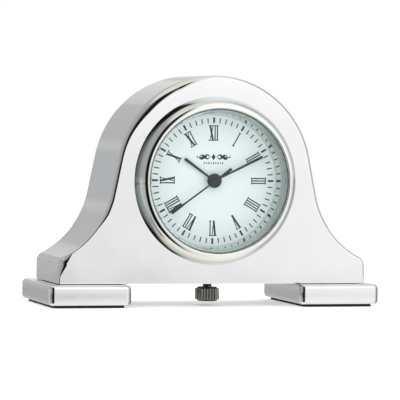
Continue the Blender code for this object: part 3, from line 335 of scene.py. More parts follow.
def keep(obj, slot, *nodes, body="root"):
    """The finish, the CAD nodes it stands for and the body it moves with."""
    obj.data.materials.clear()
    obj.data.materials.append(MATERIALS[slot])
    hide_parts(*nodes)
    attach(obj, body)


# --- Materials ---


class Finish:
    """A Principled BSDF with short calls for the textures that vary it."""

    def __init__(self, colour, metallic, roughness):
        self.material = bpy.data.materials.new("finish")
        self.material.use_nodes = True
        self.nodes = self.material.node_tree.nodes
        self.links = self.material.node_tree.links
        self.shader = self.nodes["Principled BSDF"]
        self.colour = (*colour, 1.0)
        self.set("Base Color", self.colour)
        self.set("Metallic", metallic)
        self.set("Roughness", roughness)
        self.place = self.nodes.new("ShaderNodeTexCoord").outputs["Object"]

    def set(self, socket, value):
        self.shader.inputs[socket].default_value = value

    def link(self, output, target):
        self.links.new(output, target)

    def mapped(self, scale=(1, 1, 1), shift=(0, 0, 0)):
        """Object coordinates in metres, moved and then scaled."""
        node = self.nodes.new("ShaderNodeMapping")
        node.vector_type = "POINT"
        node.inputs["Location"].default_value = [-s * k for s, k in zip(shift, scale)]
        node.inputs["Scale"].default_value = scale
        self.link(self.place, node.inputs["Vector"])
        return node.outputs["Vector"]

    def noise(self, size_mm, detail=2.0, where=None, stretch=(1, 1, 1)):
        """Noise whose features are about this size."""
        node = self.nodes.new("ShaderNodeTexNoise")
        node.inputs["Scale"].default_value = 1.0 / (size_mm * MM)
        node.inputs["Detail"].default_value = detail
        self.link(where or self.mapped(stretch), node.inputs["Vector"])
        return node.outputs["Fac"]

    def turning(self, axis_place, pitch_mm, along_y=True):
        """Noise that depends only on the distance from an axis, like the marks of a lathe tool."""
        combine_xyz = self.nodes.new("ShaderNodeCombineXYZ")
        self.link(self.away_from(axis_place, along_y), combine_xyz.inputs["X"])
        return self.noise(pitch_mm, 3.0, where=combine_xyz.outputs["Vector"])

    def away_from(self, axis_place, along_y=True):
        """Distance in metres from an axis."""
        length = self.nodes.new("ShaderNodeVectorMath")
        length.operation = "LENGTH"
        self.link(self.mapped((1, 0, 1) if along_y else (1, 1, 0), axis_place), length.inputs[0])
        return length.outputs["Value"]

    def waves(self, direction, scale):
        node = self.nodes.new("ShaderNodeTexWave")
        node.bands_direction = direction
        node.inputs["Scale"].default_value = scale
        self.link(self.place, node.inputs["Vector"])
        return node.outputs["Fac"]

    def ranged(self, value, low, high, start=0.3, end=0.7):
        node = self.nodes.new("ShaderNodeMapRange")
        limits = {"From Min": start, "From Max": end, "To Min": low, "To Max": high}
        for name, number in limits.items():
            node.inputs[name].default_value = number
        self.link(value, node.inputs["Value"])
        return node.outputs["Result"]

    def vary_roughness(self, value, low, high, start=0.3, end=0.7):
        self.link(self.ranged(value, low, high, start, end), self.shader.inputs["Roughness"])

    def vary_colour(self, value, other, start=0.3, end=0.7):
        """Mixes the base colour with another by a texture."""
        mix = self.nodes.new("ShaderNodeMix")
        mix.data_type = "RGBA"
        mix.inputs["A"].default_value = self.colour
        mix.inputs["B"].default_value = (*other, 1.0)
        self.link(self.ranged(value, 0.0, 1.0, start, end), mix.inputs["Factor"])
        self.link(mix.outputs["Result"], self.shader.inputs["Base Color"])

    def bump(self, value, height_mm, strength=1.0):
        """Height from a texture."""
        node = self.nodes.new("ShaderNodeBump")
        node.inputs["Distance"].default_value = height_mm * MM
        node.inputs["Strength"].default_value = strength
        self.link(value, node.inputs["Height"])
        target = self.shader.inputs["Normal"]
        if target.is_linked:
            self.link(target.links[0].from_socket, node.inputs["Normal"])
        self.link(node.outputs["Normal"], target)


def polished_case():
    """Plating over a hand-polished casting: soft waves in the surface, and a faint haze."""
    finish = Finish((0.86, 0.86, 0.86), 1.0, 0.05)
    finish.vary_colour(finish.noise(9.0), (0.835, 0.835, 0.84))
    finish.vary_roughness(finish.noise(3.0, 4.0), 0.045, 0.085)
    finish.bump(finish.noise(14.0, 0.0), 0.05)
    finish.bump(finish.noise(0.25), 0.0006)
    return finish


def polished_bezel():
    """Turned and polished plating, with painted shade: a little darker down in the corner where it
    meets the case.
    """
    finish = Finish((0.86, 0.865, 0.845), 1.0, 0.06)
    axis = (0, 0, DIAL_Z * MM)
    # Painted shade: the flank's outer foot, from 18.0 to 19.1 mm out, is darkened where the bezel
    # meets the case.
    finish.vary_colour(finish.away_from(axis), (0.66, 0.705, 0.72), 0.0180, 0.0191)
    finish.vary_roughness(finish.turning(axis, 0.12), 0.05, 0.10)
    finish.bump(finish.turning(axis, 0.08), 0.0006)
    return finish


def reflector():
    finish = Finish((0.66, 0.71, 0.695), 1.0, 0.10)
    axis = (0, 0, DIAL_Z * MM)
    finish.vary_roughness(finish.away_from(axis), 0.05, 0.42, 0.0156, 0.0160)
    finish.vary_colour(finish.away_from(axis), (0.52, 0.585, 0.55), 0.0155, 0.0160)
    finish.bump(finish.turning(axis, 0.1), 0.0008)
    return finish


def white_dial():
    """Matt lacquer with a very faint grain."""
    finish = Finish((0.69, 0.765, 0.775), 0.0, 0.42)
    finish.vary_colour(finish.noise(8.0), (0.67, 0.75, 0.765))
    finish.vary_roughness(finish.noise(0.4, 3.0), 0.36, 0.48)
    finish.bump(finish.noise(0.12), 0.0006)
    return finish


def hand_black():
    finish = Finish((0.010, 0.015, 0.018), 0.0, 0.4)
    finish.set("Specular IOR Level", 0.15)
    finish.vary_colour(finish.noise(0.8), (0.016, 0.022, 0.026))
    finish.vary_roughness(finish.noise(0.3, 3.0), 0.28, 0.42)
    finish.bump(finish.noise(0.1), 0.0008)
    return finish


def crown_metal():
    """Dark gunmetal plating, with painted shade: darker inside the flutes and round the neck."""
    finish = Finish((0.36, 0.355, 0.335), 1.0, 0.26)
    axis = (0, STEM_Y * MM, 0)
    # Painted shade: near black within about 2.5 mm of the axis, inside the flutes, on the core discs
    # and round the neck.
    finish.vary_colour(finish.away_from(axis, False), (0.055, 0.055, 0.05), 0.0027, 0.00252)
    finish.vary_roughness(finish.noise(0.35, 3.0), 0.22, 0.38)
    finish.bump(finish.turning(axis, 0.08, along_y=False), 0.0015)
    return finish


def mineral_glass():
    """Clear glass that bends the view, and lets light and mirrored rays straight through."""
    finish = Finish((0.985, 1.0, 0.995), 0.0, 0.0)
    finish.set("Transmission Weight", 1.0)
    finish.set("IOR", 1.35)
    finish.vary_roughness(finish.noise(5.0), 0.0, 0.012)
    path = finish.nodes.new("ShaderNodeLightPath")
    unbent = finish.nodes.new("ShaderNodeMath")
    unbent.operation = "MAXIMUM"
    finish.link(path.outputs["Is Shadow Ray"], unbent.inputs[0])
    finish.link(path.outputs["Is Reflection Ray"], unbent.inputs[1])
    mix = finish.nodes.new("ShaderNodeMixShader")
    finish.link(unbent.outputs[0], mix.inputs["Fac"])
    finish.link(finish.shader.outputs["BSDF"], mix.inputs[1])
    finish.link(finish.nodes.new("ShaderNodeBsdfTransparent").outputs["BSDF"], mix.inputs[2])
    finish.link(mix.outputs["Shader"], finish.nodes["Material Output"].inputs["Surface"])
    return finish


def clear_nylon():
    finish = Finish((0.16, 0.20, 0.18), 0.0, 0.40)
    finish.vary_colour(finish.noise(1.5), (0.12, 0.15, 0.135))
    finish.vary_roughness(finish.noise(0.5), 0.35, 0.5)
    return finish


def black_pad():
    """Closed-cell foam rubber: fine cells and a little dust."""
    finish = Finish((0.012, 0.012, 0.013), 0.0, 0.9)
    finish.vary_colour(finish.noise(0.6, 4.0), (0.03, 0.03, 0.03), 0.5, 0.8)
    finish.vary_roughness(finish.noise(0.4, 3.0), 0.8, 0.97)
    finish.bump(finish.noise(0.18, 3.0), 0.012)
    return finish


def brushed(colour, other, roughness, grain, stretch):
    """A satin metal whose grain is drawn out where stretch is small."""
    finish = Finish(colour, 1.0, roughness)
    lines = finish.noise(grain, 3.0, stretch=stretch)
    finish.vary_colour(lines, other)
    finish.vary_roughness(lines, roughness - 0.06, roughness + 0.08)
    finish.bump(lines, 0.0012)
    return finish


def plated_steel():
    return brushed((0.66, 0.66, 0.665), (0.58, 0.58, 0.59), 0.30, 0.15, (0.02, 1, 1))


def screw_steel():
    return brushed((0.62, 0.62, 0.62), (0.52, 0.52, 0.53), 0.26, 0.12, (1, 1, 0.1))


def battery_steel():
    finish = brushed((0.70, 0.70, 0.69), (0.62, 0.62, 0.61), 0.24, 0.10, (1, 1, 1))
    finish.bump(finish.turning(tuple(middle("battery") * MM), 0.09), 0.001)
    return finish


def nickel_plate():
    """Plated brass with straight striping across the bridges."""
    finish = brushed((0.72, 0.70, 0.65), (0.62, 0.60, 0.56), 0.28, 0.10, (1, 1, 0.03))
    finish.bump(finish.waves("X", 90.0), 0.01, 0.4)
    return finish


def wheel_brass():
    finish = Finish((0.80, 0.62, 0.30), 1.0, 0.26)
    finish.vary_colour(finish.noise(1.2), (0.70, 0.50, 0.22))
    lines = finish.noise(0.09, 3.0)
    finish.vary_roughness(lines, 0.20, 0.34)
    finish.bump(lines, 0.0012)
    return finish


def holder_plastic():
    finish = Finish((0.76, 0.75, 0.71), 0.0, 0.5)
    finish.vary_colour(finish.noise(4.0), (0.70, 0.69, 0.65))
    finish.vary_roughness(finish.noise(0.6), 0.42, 0.58)
    finish.bump(finish.noise(0.2), 0.003)
    return finish


def circuit_green():
    """Solder mask over tracks, which show as lighter lines."""
    finish = Finish((0.012, 0.16, 0.06), 0.0, 0.42)
    cells = finish.nodes.new("ShaderNodeTexVoronoi")
    cells.feature = "DISTANCE_TO_EDGE"
    cells.distance = "MANHATTAN"
    cells.inputs["Scale"].default_value = 900.0
    finish.link(finish.mapped((1, 0, 1)), cells.inputs["Vector"])
    finish.vary_colour(cells.outputs["Distance"], (0.03, 0.30, 0.12), 0.02, 0.06)
    finish.vary_roughness(finish.noise(0.5), 0.34, 0.5)
    return finish


def chip_black():
    finish = Finish((0.018, 0.018, 0.02), 0.0, 0.55)
    finish.vary_colour(finish.noise(0.5, 3.0), (0.03, 0.03, 0.03))
    finish.vary_roughness(finish.noise(0.2, 3.0), 0.48, 0.65)
    finish.bump(finish.noise(0.1), 0.004)
    return finish


def coil_copper():
    """Fine enamelled wire, wound in turns along the coil."""
    finish = Finish((0.62, 0.24, 0.09), 1.0, 0.3)
    turns = finish.waves("Z", 1600.0)
    finish.vary_colour(turns, (0.40, 0.13, 0.05))
    finish.bump(turns, 0.02)
    return finish


def soft_iron():
    return brushed((0.42, 0.42, 0.43), (0.34, 0.34, 0.35), 0.38, 0.14, (1, 1, 0.05))


FINISHES = (
    polished_case, polished_bezel, reflector, white_dial, hand_black, crown_metal, mineral_glass,
    clear_nylon, black_pad, plated_steel, screw_steel, battery_steel, nickel_plate, wheel_brass,
    holder_plastic, circuit_green, chip_black, coil_copper, soft_iron,
)
MATERIALS = {make.__name__: make().material for make in FINISHES}
for slot_name, made in MATERIALS.items():
    made.name = slot_name


def finish_carried_nodes():
    """Gives every CAD node the finish of its slot."""
    for part in frame["record"]["subparts"]:
        obj = frame["nodes"][part["node"]]
        for slot in obj.material_slots:
            slot.material = MATERIALS[part["material_slot"]]


# --- Case, back and feet ---


def along(stops, share):
    """The value between (share, value) stops."""
    for (start, a), (end, b) in zip(stops, stops[1:]):
        if share <= end:
            return blend(a, b, (share - start) / (end - start))
    return stops[-1][1]


def half_trace(corner, base_corner, edge):
    """Half of the case's outline, from top to foot: (point, outward normal, edge radius)."""
    side, base = CASE_HIGH.x, CASE_LOW.z
    corner_x = side - corner
    drop = math.sqrt((FLANK_RADIUS + corner) ** 2 - (FLANK_X - corner_x) ** 2)
    corner_z = ARCH_Z - drop
    meet = math.acos((ARCH_RADIUS + FLANK_RADIUS) / FLANK_X)
    turn = math.atan2(drop, FLANK_X - corner_x)
    half = []

    def sweep(centre, radius, start, end, steps, stops):
        """Adds an arc between two angles of its normal. A hollow curve has a negative radius."""
        for i in range(1, steps + 1):
            share = i / steps
            angle = blend(start, end, share)
            normal = (math.cos(angle), math.sin(angle))
            point = (centre[0] + radius * normal[0], centre[1] + radius * normal[1])
            half.append((point, normal, along(stops, share)))

    half.append(((0.0, ARCH_Z + ARCH_RADIUS), (0.0, 1.0), edge["arch"][0][1]))
    sweep((0.0, ARCH_Z), ARCH_RADIUS, math.pi / 2, meet, ARCH_STEPS, edge["arch"])
    sweep((FLANK_X, ARCH_Z), -FLANK_RADIUS, meet, turn, FLANK_STEPS, edge["flank"])
    sweep((corner_x, corner_z), corner, turn, 0.0, CORNER_STEPS, edge["corner"])
    bottom = base + base_corner
    for i in range(1, SIDE_STEPS + 1):
        share = i / SIDE_STEPS
        point = (side, blend(corner_z, bottom, share))
        half.append((point, (1.0, 0.0), along(edge["side"], share)))
    centre = (side - base_corner, bottom)
    sweep(centre, base_corner, 0.0, -math.pi / 2, BASE_CORNER_STEPS, edge["side"][-1:])
    return half


def case_trace(corner, base_corner):
    """The whole outline, clockwise from the top."""
    right = half_trace(corner, base_corner, RIGHT_EDGE)
    left = reversed(half_trace(corner, base_corner, LEFT_EDGE)[1:])
    return right + [((-x, z), (-across, up), edge) for (x, z), (across, up), edge in left]


def case_outline(inset):
    """The case's outline, moved in by this much, with small rounded corners."""
    corner = inset + INNER_CORNER_RADIUS
    trace = case_trace(corner, corner)
    return [(x - inset * across, z - inset * up) for (x, z), (across, up), _ in trace]


def lofted_case():
    """The case's solid outside, as rings from the back face to the front face."""
    trace = case_trace(CORNER_RADIUS, BASE_CORNER_RADIUS)
    shape = bmesh.new()
    rings = []

    def add_ring(places):
        rings.append([shape.verts.new((x * MM, y * MM, z * MM)) for x, y, z in places])

    for i in range(EDGE_STEPS + 1):
        angle = math.pi / 2 * i / EDGE_STEPS
        inset = CASE_BACK_EDGE * (1 - math.sin(angle))
        y = CASE_HIGH.y - CASE_BACK_EDGE * (1 - math.cos(angle))
        add_ring([(x - inset * across, y, z - inset * up) for (x, z), (across, up), _ in trace])
    for i in range(EDGE_STEPS + 1):
        angle = math.pi / 2 * i / EDGE_STEPS
        inset, depth = 1 - math.cos(angle), 1 - math.sin(angle)
        add_ring([
            (x - edge * inset * across, CASE_LOW.y + edge * depth, z - edge * inset * up)
            for (x, z), (across, up), edge in trace
        ])
    count = len(trace)
    for ring, following in zip(rings, rings[1:]):
        for i in range(count):
            j = (i + 1) % count
            shape.faces.new((ring[i], ring[j], following[j], following[i]))
    shape.faces.new(rings[0])
    shape.faces.new(rings[-1])
    bmesh.ops.recalc_face_normals(shape, faces=shape.faces)
    return finish_shape("case_shell", shape)


def plate_screws():
    return [name for name in sorted(frame["nodes"]) if name.startswith("back_plate_screw_")]


def foot_screws(side):
    return [f"{side}_foot_screw_{end}" for end in ("front", "back")]


def make_case_body():
    body = lofted_case()
    hollow = flat("hollow", case_outline(CASE_WALL), (HOLLOW_FRONT, PLATE_LOW.y + 2 * GAP))
    span = (PLATE_LOW.y - GAP, CASE_HIGH.y + OVER)
    rebate = flat("rebate", case_outline(REBATE_INSET), span)
    span = (CASE_LOW.y - OVER, HOLLOW_FRONT + OVER)
    bore = post("bore", CASE_BORE, (0, DIAL_Z), span, sides=160)
    span = (CASE_LOW.z - OVER, CASE_LOW.z + CASE_WALL + OVER)
    tube_hole = post("tube_hole", TUBE_HOLE, (0, STEM_Y), span, along_y=False)
    cut(body, hollow, rebate, bore, tube_hole)
    bosses, holes = [], []
    boss_end = PLATE_LOW.y - 1.2 * GAP
    for name in plate_screws():
        at = middle(name)
        span = (box_mm(name)[0].y - HOLE_SPARE, PLATE_LOW.y + OVER)
        bosses.append(post("plate_boss", PLATE_BOSS, (at.x, at.z), (PLATE_BOSS_START, boss_end)))
        holes.append(post("plate_hole", PLATE_HOLE, (at.x, at.z), span))
    for name in foot_screws("left") + foot_screws("right"):
        at = middle(name)
        top = box_mm(name)[1].z
        span = (CASE_LOW.z + CASE_WALL / 2, top + BOSS_SPARE)
        bosses.append(post("foot_boss", FOOT_BOSS, (at.x, at.y), span, False))
        span = (CASE_LOW.z - OVER, top + HOLE_SPARE)
        holes.append(post("foot_hole", FOOT_HOLE, (at.x, at.y), span, False))
    join(body, *bosses)
    cut(body, *holes)
    keep(settle(body), "polished_case", "case_body")


def make_back_plate():
    back = PLATE_HIGH.y
    plate = flat("rear_plate", case_outline(REBATE_INSET + GAP), (PLATE_LOW.y, back))
    bevel(plate, PLATE_EDGE)
    through = (PLATE_LOW.y - OVER, back + OVER)
    holes = [post("hatch", HATCH, (0, DIAL_Z), through, sides=160)]
    lead = [
        (0.0, back - HATCH_LEAD), (HATCH - HATCH_LEAD / 2, back - HATCH_LEAD),
        (HATCH + HATCH_LEAD * 1.5, back + HATCH_LEAD), (0.0, back + HATCH_LEAD),
    ]
    holes.append(turned("hatch_lead", lead, (0, DIAL_Z), sides=160))
    for name in plate_screws():
        at = middle(name)
        holes.append(post("screw_hole", PLATE_THROUGH, (at.x, at.z), through))
        span = (back - PLATE_RECESS_DEPTH, back + OVER)
        holes.append(post("recess", PLATE_RECESS, (at.x, at.z), span))
    cut(plate, *holes)
    keep(settle(plate), "plated_steel", "back_plate")


def make_screw(node, along_y, head_up, head_length, shank):
    """A slotted cheese-head screw in its CAD node's box.

    head_up is +1 where the head's face is at the high end of the axis, and -1 at the low end.
    """
    low, high = box_mm(node)
    axis, across = (1, 2) if along_y else (2, 1)
    start, end = (high[axis], low[axis]) if head_up > 0 else (low[axis], high[axis])
    radius = (high.x - low.x) / 2
    inward = -head_up
    edge, under_edge = 0.18 * radius, 0.05
    tip_length, tip_inset = 0.25, 0.2
    under = start + inward * head_length
    profile = [
        (0.0, start), (radius - edge, start),
        (radius - edge * 0.3, start + inward * edge * 0.3), (radius, start + inward * edge),
        (radius, under - inward * under_edge), (radius - under_edge, under), (shank, under),
        (shank, end - inward * tip_length), (shank - tip_inset, end), (0.0, end),
    ]
    centre = (low + high) / 2
    at = (centre.x, centre.z) if along_y else (centre.x, centre.y)
    screw = turned(node + "_turned", profile, at, along_y, 48)
    slot_reach, slot_half, slot_depth = 1.2 * radius, 0.14 * radius, 0.45 * head_length
    corner_a = [value - slot_reach for value in centre]
    corner_b = [value + slot_reach for value in centre]
    corner_a[across], corner_b[across] = centre[across] - slot_half, centre[across] + slot_half
    ends = sorted((start - inward * OVER, start + inward * slot_depth))
    corner_a[axis], corner_b[axis] = ends
    cut(screw, block("slot", corner_a, corner_b))
    keep(settle(screw), "screw_steel", node)


def make_screws():
    for node in plate_screws():
        make_screw(node, True, 1, PLATE_HEAD_LENGTH, PLATE_SHANK)
    for node in foot_screws("left") + foot_screws("right"):
        make_screw(node, False, -1, FOOT_HEAD_LENGTH, FOOT_SHANK)


def make_battery_cover():
    """A spun cap with a shallow dish and a thumbnail notch."""
    low, high = box_mm("battery_cover")
    radius = (high.x - low.x) / 2
    seat = PLATE_HIGH.y + GAP
    dish_floor, dish_foot, dish_top = COVER_DISH
    rim, inner, edge = COVER_RIM_ROUND, COVER_PLUG - COVER_PLUG_WALL, 0.1
    deep, shallow = (high.y - depth for depth in COVER_DISH_DEPTHS)
    profile = [(0.0, deep), (dish_floor, deep), (dish_foot, shallow), (dish_top, high.y)]
    profile += arc((radius - rim, high.y - rim), (rim, rim), 90, 0, 5)
    profile += [
        (radius, seat), (COVER_PLUG, seat), (COVER_PLUG, low.y + 2 * edge),
        (COVER_PLUG - 2 * edge, low.y), (inner + edge, low.y), (inner, low.y + edge),
        (inner, seat), (0.0, seat),
    ]
    cover = turned("rear_cap", profile, (0, DIAL_Z), sides=160)
    half_width, depth, height = COVER_NOTCH
    bottom = DIAL_Z - radius
    notch_low = (-half_width, seat - OVER, bottom - OVER)
    cut(cover, block("notch", notch_low, (half_width, seat + depth, bottom + height)))
    keep(settle(cover), "polished_case", "battery_cover", body="battery_cover")


def rounded_box(low, high, corner, steps):
    """A rectangle's outline in plan, with rounded corners."""
    x0, x1, y0, y1 = low.x + corner, high.x - corner, low.y + corner, high.y - corner
    outline = []
    for centre, start in (((x1, y1), 0), ((x0, y1), 90), ((x0, y0), 180), ((x1, y0), 270)):
        outline += arc(centre, (corner, corner), start, start + 90, steps)
    return outline


def make_foot(side):
    """A polished block with rounded corners and edges, on a thin pad set in from them."""
    low, high = box_mm(side + "_foot")
    outline = rounded_box(low, high, FOOT_CORNER, 12)
    foot = flat(side + "_block", outline, (low.z, high.z), along_y=False)
    bevel(foot, FOOT_EDGE, FOOT_EDGE_STEPS)
    through = (low.z - OVER, high.z + OVER)
    recess = (low.z - OVER, low.z + FOOT_RECESS_DEPTH)
    holes = []
    for name in foot_screws(side):
        at = middle(name)
        holes.append(post("through", FOOT_THROUGH, (at.x, at.y), through, along_y=False))
        holes.append(post("recess", FOOT_RECESS, (at.x, at.y), recess, along_y=False))
    cut(foot, *holes)
    keep(settle(foot), "polished_case", side + "_foot")
    low, high = box_mm(side + "_foot_pad")
    outline = rounded_box(low, high, PAD_CORNER, 5)
    pad = flat(side + "_pad", outline, (low.z, high.z), along_y=False)
    bevel(pad, PAD_EDGE, 2, 40.0)
    keep(settle(pad), "black_pad", side + "_foot_pad")


# --- Bezel, glass and dial ---


def bend(start, control, end, steps):
    """Points of a quadratic curve after its start."""
    points = []
    for i in range(1, steps + 1):
        t = i / steps
        a, b, c = (1 - t) ** 2, 2 * t * (1 - t), t**2
        points.append(tuple(a * start[k] + b * control[k] + c * end[k] for k in range(2)))
    return points


def make_bezel():
    """A ring with a rounded section, on a barrel that goes through the case."""
    face, crest, radius = CASE_LOW.y - GAP, BEZEL_LOW.y, BEZEL_HIGH.x
    seat = crest + SEAT_BEHIND_CREST
    centre = (CREST_RADIUS, crest + CREST_ROUND)
    crest_arc = arc(centre, (CREST_ROUND, -CREST_ROUND), 90 - CREST_ANGLE, 90, 12)
    # A tight turn joins the crest to the flank, which ends steeply at the case.
    start = tuple(a + b for a, b in zip(crest_arc[0], BEZEL_TURN_STEP))
    slope, steep = (math.tan(math.radians(a)) for a in (BEZEL_TURN_ANGLE, BEZEL_FOOT_ANGLE))
    run = (steep * (radius - start[0]) - (face - start[1])) / (steep - slope)
    corner = (start[0] + run, start[1] + run * slope)
    profile = [(BARREL_RADIUS, face), (radius, face)]
    profile += bend((radius, face), corner, start, 24)
    profile += crest_arc
    lip = CREST_RADIUS - LIP_RADIUS
    profile += arc((CREST_RADIUS, crest + lip), (lip, -lip), 90, 180, 12)[1:]
    profile += [
        (LIP_RADIUS, seat), (BARREL_BORE, seat), (BARREL_BORE, BEZEL_HIGH.y),
        (BARREL_RADIUS, BEZEL_HIGH.y),
    ]
    bezel = turned("bezel_ring", profile, (0, DIAL_Z), sides=192)
    span = (DIAL_Z - BARREL_RADIUS - OVER, DIAL_Z - BARREL_BORE + OVER)
    cut(bezel, post("stem_hole", STEM_HOLE, (0, STEM_Y), span, along_y=False))
    keep(settle(bezel, weighted=False), "polished_bezel", "bezel")


def make_glass():
    """The glass with a rounded front edge, and the gasket round it."""
    low, high = box_mm("glass")
    radius, edge, gasket_edge = high.x, 0.25, 0.04
    profile = [(0.0, low.y)]
    profile += arc((radius - edge, low.y + edge), (edge, -edge), 90, 0, 4)
    profile += [(radius, high.y), (0.0, high.y)]
    glass = turned("crystal", profile, (0, DIAL_Z), sides=160)
    keep(settle(glass), "mineral_glass", "glass")
    low, high = box_mm("glass_gasket")
    outer, inner = high.x, radius + GAP
    profile = [
        (inner, low.y + gasket_edge), (inner + gasket_edge, low.y), (outer - gasket_edge, low.y),
        (outer, low.y + gasket_edge), (outer, high.y), (inner, high.y),
    ]
    gasket = turned("crystal_gasket", profile, (0, DIAL_Z), sides=128)
    keep(settle(gasket), "clear_nylon", "glass_gasket")


def make_reflector():
    """A steep polished wall round the dial, which opens wider towards the glass."""
    low, high = box_mm("reflector_ring")
    front, back, outer = low.y, high.y, high.x
    profile = [
        (WALL_TOP, front), (outer, front), (outer, back), (WALL_FOOT, back),
        (WALL_BEND, back - WALL_BEND_HEIGHT), (WALL_TOP, back - WALL_TOP_HEIGHT),
    ]
    wall = turned("reflector_wall", profile, (0, DIAL_Z), sides=192)
    smooth(wall.data, 12.0)  # keeps the bend sharp
    keep(wall, "reflector", "reflector_ring")


def bar(x0, z0, x1, z1, width):
    """A slanted bar with level ends, from its bottom middle to its top middle."""
    half = width / 2
    return [(x0 - half, z0), (x0 + half, z0), (x1 + half, z1), (x1 - half, z1)]


def letter_width(letter):
    return STEM_PITCH if letter == "I" else LETTER_WIDTH


def numeral_strokes(text):
    """The bars of a numeral, centred on x = 0, with its foot at z = 0."""
    height, inset = NUMERAL_OUTER - NUMERAL_INNER, 0.2
    x, strokes = -sum(letter_width(letter) for letter in text) / 2, []
    for letter in text:
        width = letter_width(letter)
        left, right, centre = x + inset, x + width - inset, x + width / 2
        serif = HEAVY + 2 * SERIF_REACH
        if letter == "I":
            bars, feet, tops = [(centre, centre, STEM)], [centre], [centre]
            serif = STEM_PITCH
        elif letter == "V":
            bars, feet, tops = [(centre, left, HEAVY), (centre, right, LIGHT)], [], [left, right]
        else:
            bars, feet = [(right, left, HEAVY), (left, right, LIGHT)], [left, right]
            tops = feet
        strokes += [bar(foot, 0, top, height, thickness) for foot, top, thickness in bars]
        strokes += [bar(end, 0, end, SERIF_HEIGHT, serif) for end in feet]
        strokes += [bar(end, height - SERIF_HEIGHT, end, height, serif) for end in tops]
        x += width
    return strokes


def turn_outline(outline, angle, lift=0.0):
    """Moves an outline out along a radius and turns it clockwise about the dial's axis."""
    cos, sin = math.cos(angle), math.sin(angle)
    return [(x * cos + (z + lift) * sin, (z + lift) * cos - x * sin) for x, z in outline]


def ribbon(centre_line, widths):
    """An outline along a line of points, as wide at each point as its width."""
    left, right = [], []
    for i, (x, z) in enumerate(centre_line):
        x0, z0 = centre_line[max(i - 1, 0)]
        x1, z1 = centre_line[min(i + 1, len(centre_line) - 1)]
        length = math.hypot(x1 - x0, z1 - z0)
        across, up = -(z1 - z0) / length, (x1 - x0) / length
        half = widths[i] / 2
        left.append((x + across * half, z + up * half))
        right.append((x - across * half, z - up * half))
    return left + right[::-1]


def ornament():
    """A lozenge between leafy scrolls, over a row of small lozenges."""
    shapes = []

    def lozenge(x, z, width, height):
        shapes.append([(x - width, z), (x, z - height), (x + width, z), (x, z + height)])

    lozenge(0.0, SCROLL_Z, *MIDDLE_LOZENGE)
    for side in (-1, 1):
        for start, reach, lift in SCROLLS:
            line, widths = [], []
            for i in range(SCROLL_STEPS + 1):
                share = i / SCROLL_STEPS
                z = SCROLL_Z + lift * math.sin(math.tau * share)
                line.append((side * (start + reach * share), z))
                widths.append(SCROLL_THIN + SCROLL_SWELL * math.sin(math.pi * share))
            shapes.append(ribbon(line, widths))
        lozenge(side * OUTER_LOZENGE_X, SCROLL_Z, *OUTER_LOZENGE)
    for i in range(-4, 5):
        lozenge(i * ROW_PITCH, ROW_Z, *ROW_LOZENGES[i % 2])
    return shapes


def make_dial():
    radius, front, edge, hole_edge = DIAL_HIGH.x, DIAL_LOW.y, 0.05, 0.03
    back = front + DIAL_THICKNESS
    disc = [
        (radius, front + edge), (radius, back), (DIAL_HOLE, back), (DIAL_HOLE, front + hole_edge),
        (DIAL_HOLE + hole_edge, front), (radius - edge, front),
    ]
    dial = turned("dial_disc", disc, (0, DIAL_Z), sides=160)
    span = (back - DIAL_FOOT_ROOT, DIAL_HIGH.y)
    feet = [post("dial_foot", DIAL_FOOT, (x, DIAL_Z), span) for x in (-DIAL_FOOT_X, DIAL_FOOT_X)]
    join(dial, *feet)
    keep(settle(dial), "white_dial", "dial")
    outlines = []
    for i in range(60):
        outer, width = MINUTE_TICK if i % 5 else HOUR_TICK
        tick = bar(0, TICK_INNER, 0, outer, width)
        outlines.append(turn_outline(tick, math.tau * i / 60))
    for i, text in enumerate(NUMERALS):
        for stroke in numeral_strokes(text):
            outlines.append(turn_outline(stroke, math.tau * i / 12, NUMERAL_INNER))
    outlines += ornament()
    span = (front - PRINT_HEIGHT, front + PRINT_HEIGHT)
    shape = bmesh.new()
    for outline in outlines:
        mark = flat("mark", outline, span, (0, DIAL_Z))
        shape.from_mesh(mark.data)
        bpy.data.objects.remove(mark, do_unlink=True)
    printed = finish_shape("dial_print", shape)
    smooth(printed.data)
    keep(printed, "hand_black")


# --- Hands ---


def arm_outline(angle, arm):
    """A straight arm, from (distance, half width) stops along it."""
    outline = [(-half, distance) for distance, half in arm]
    outline += [(half, distance) for distance, half in reversed(arm)]
    return turn_outline(outline, angle)


def angle_of_hand(node):
    """The clockwise angle of the hand's tip, the part that is furthest from the dial's axis."""
    points = [vertex.co / MM for vertex in frame["nodes"][node].data.vertices]
    tip = max(points, key=lambda p: math.hypot(p.x, p.z - DIAL_Z))
    near = [p for p in points if math.hypot(p.x - tip.x, p.z - tip.z) < TIP_REACH]
    x = sum(p.x for p in near) / len(near)
    z = sum(p.z - DIAL_Z for p in near) / len(near)
    return math.atan2(x, z)


def make_hand(node, body, blade, tail, hub, dome, bore):
    """A flat blade with softened edges, on a domed hub round its pipe."""
    low, high = box_mm(node)
    angle, span, rim = angle_of_hand(node), (low.y, high.y), low.y + HUB_RIM
    parts = [flat("blade", arm_outline(angle, blade), span, (0, DIAL_Z))]
    if tail:
        parts.append(flat("tail", arm_outline(angle + math.pi, tail), span, (0, DIAL_Z)))
    profile = [(bore, high.y), (hub, high.y), (hub, rim)]
    bore_angle = math.degrees(math.acos(bore / hub))
    profile += arc((0, rim), (hub, -dome), 4, bore_angle, 8)
    hand = join(turned("hub", profile, (0, DIAL_Z), sides=64), *parts)
    hand.name = node + "_blade"
    bevel(hand, HAND_EDGE, 2, 50.0)
    keep(settle(hand), "hand_black", node, body=body)


def make_hands():
    make_hand("hour_hand", "hours", HOUR_ARM, (), hub=1.6, dome=0.05, bore=0.72)
    make_hand("minute_hand", "minutes", MINUTE_ARM, (), hub=1.68, dome=0.28, bore=0.3)
    make_hand("second_hand", "seconds", SECOND_ARM, SECOND_TAIL, hub=0.5, dome=0.3, bore=0.0)


# --- Crown ---


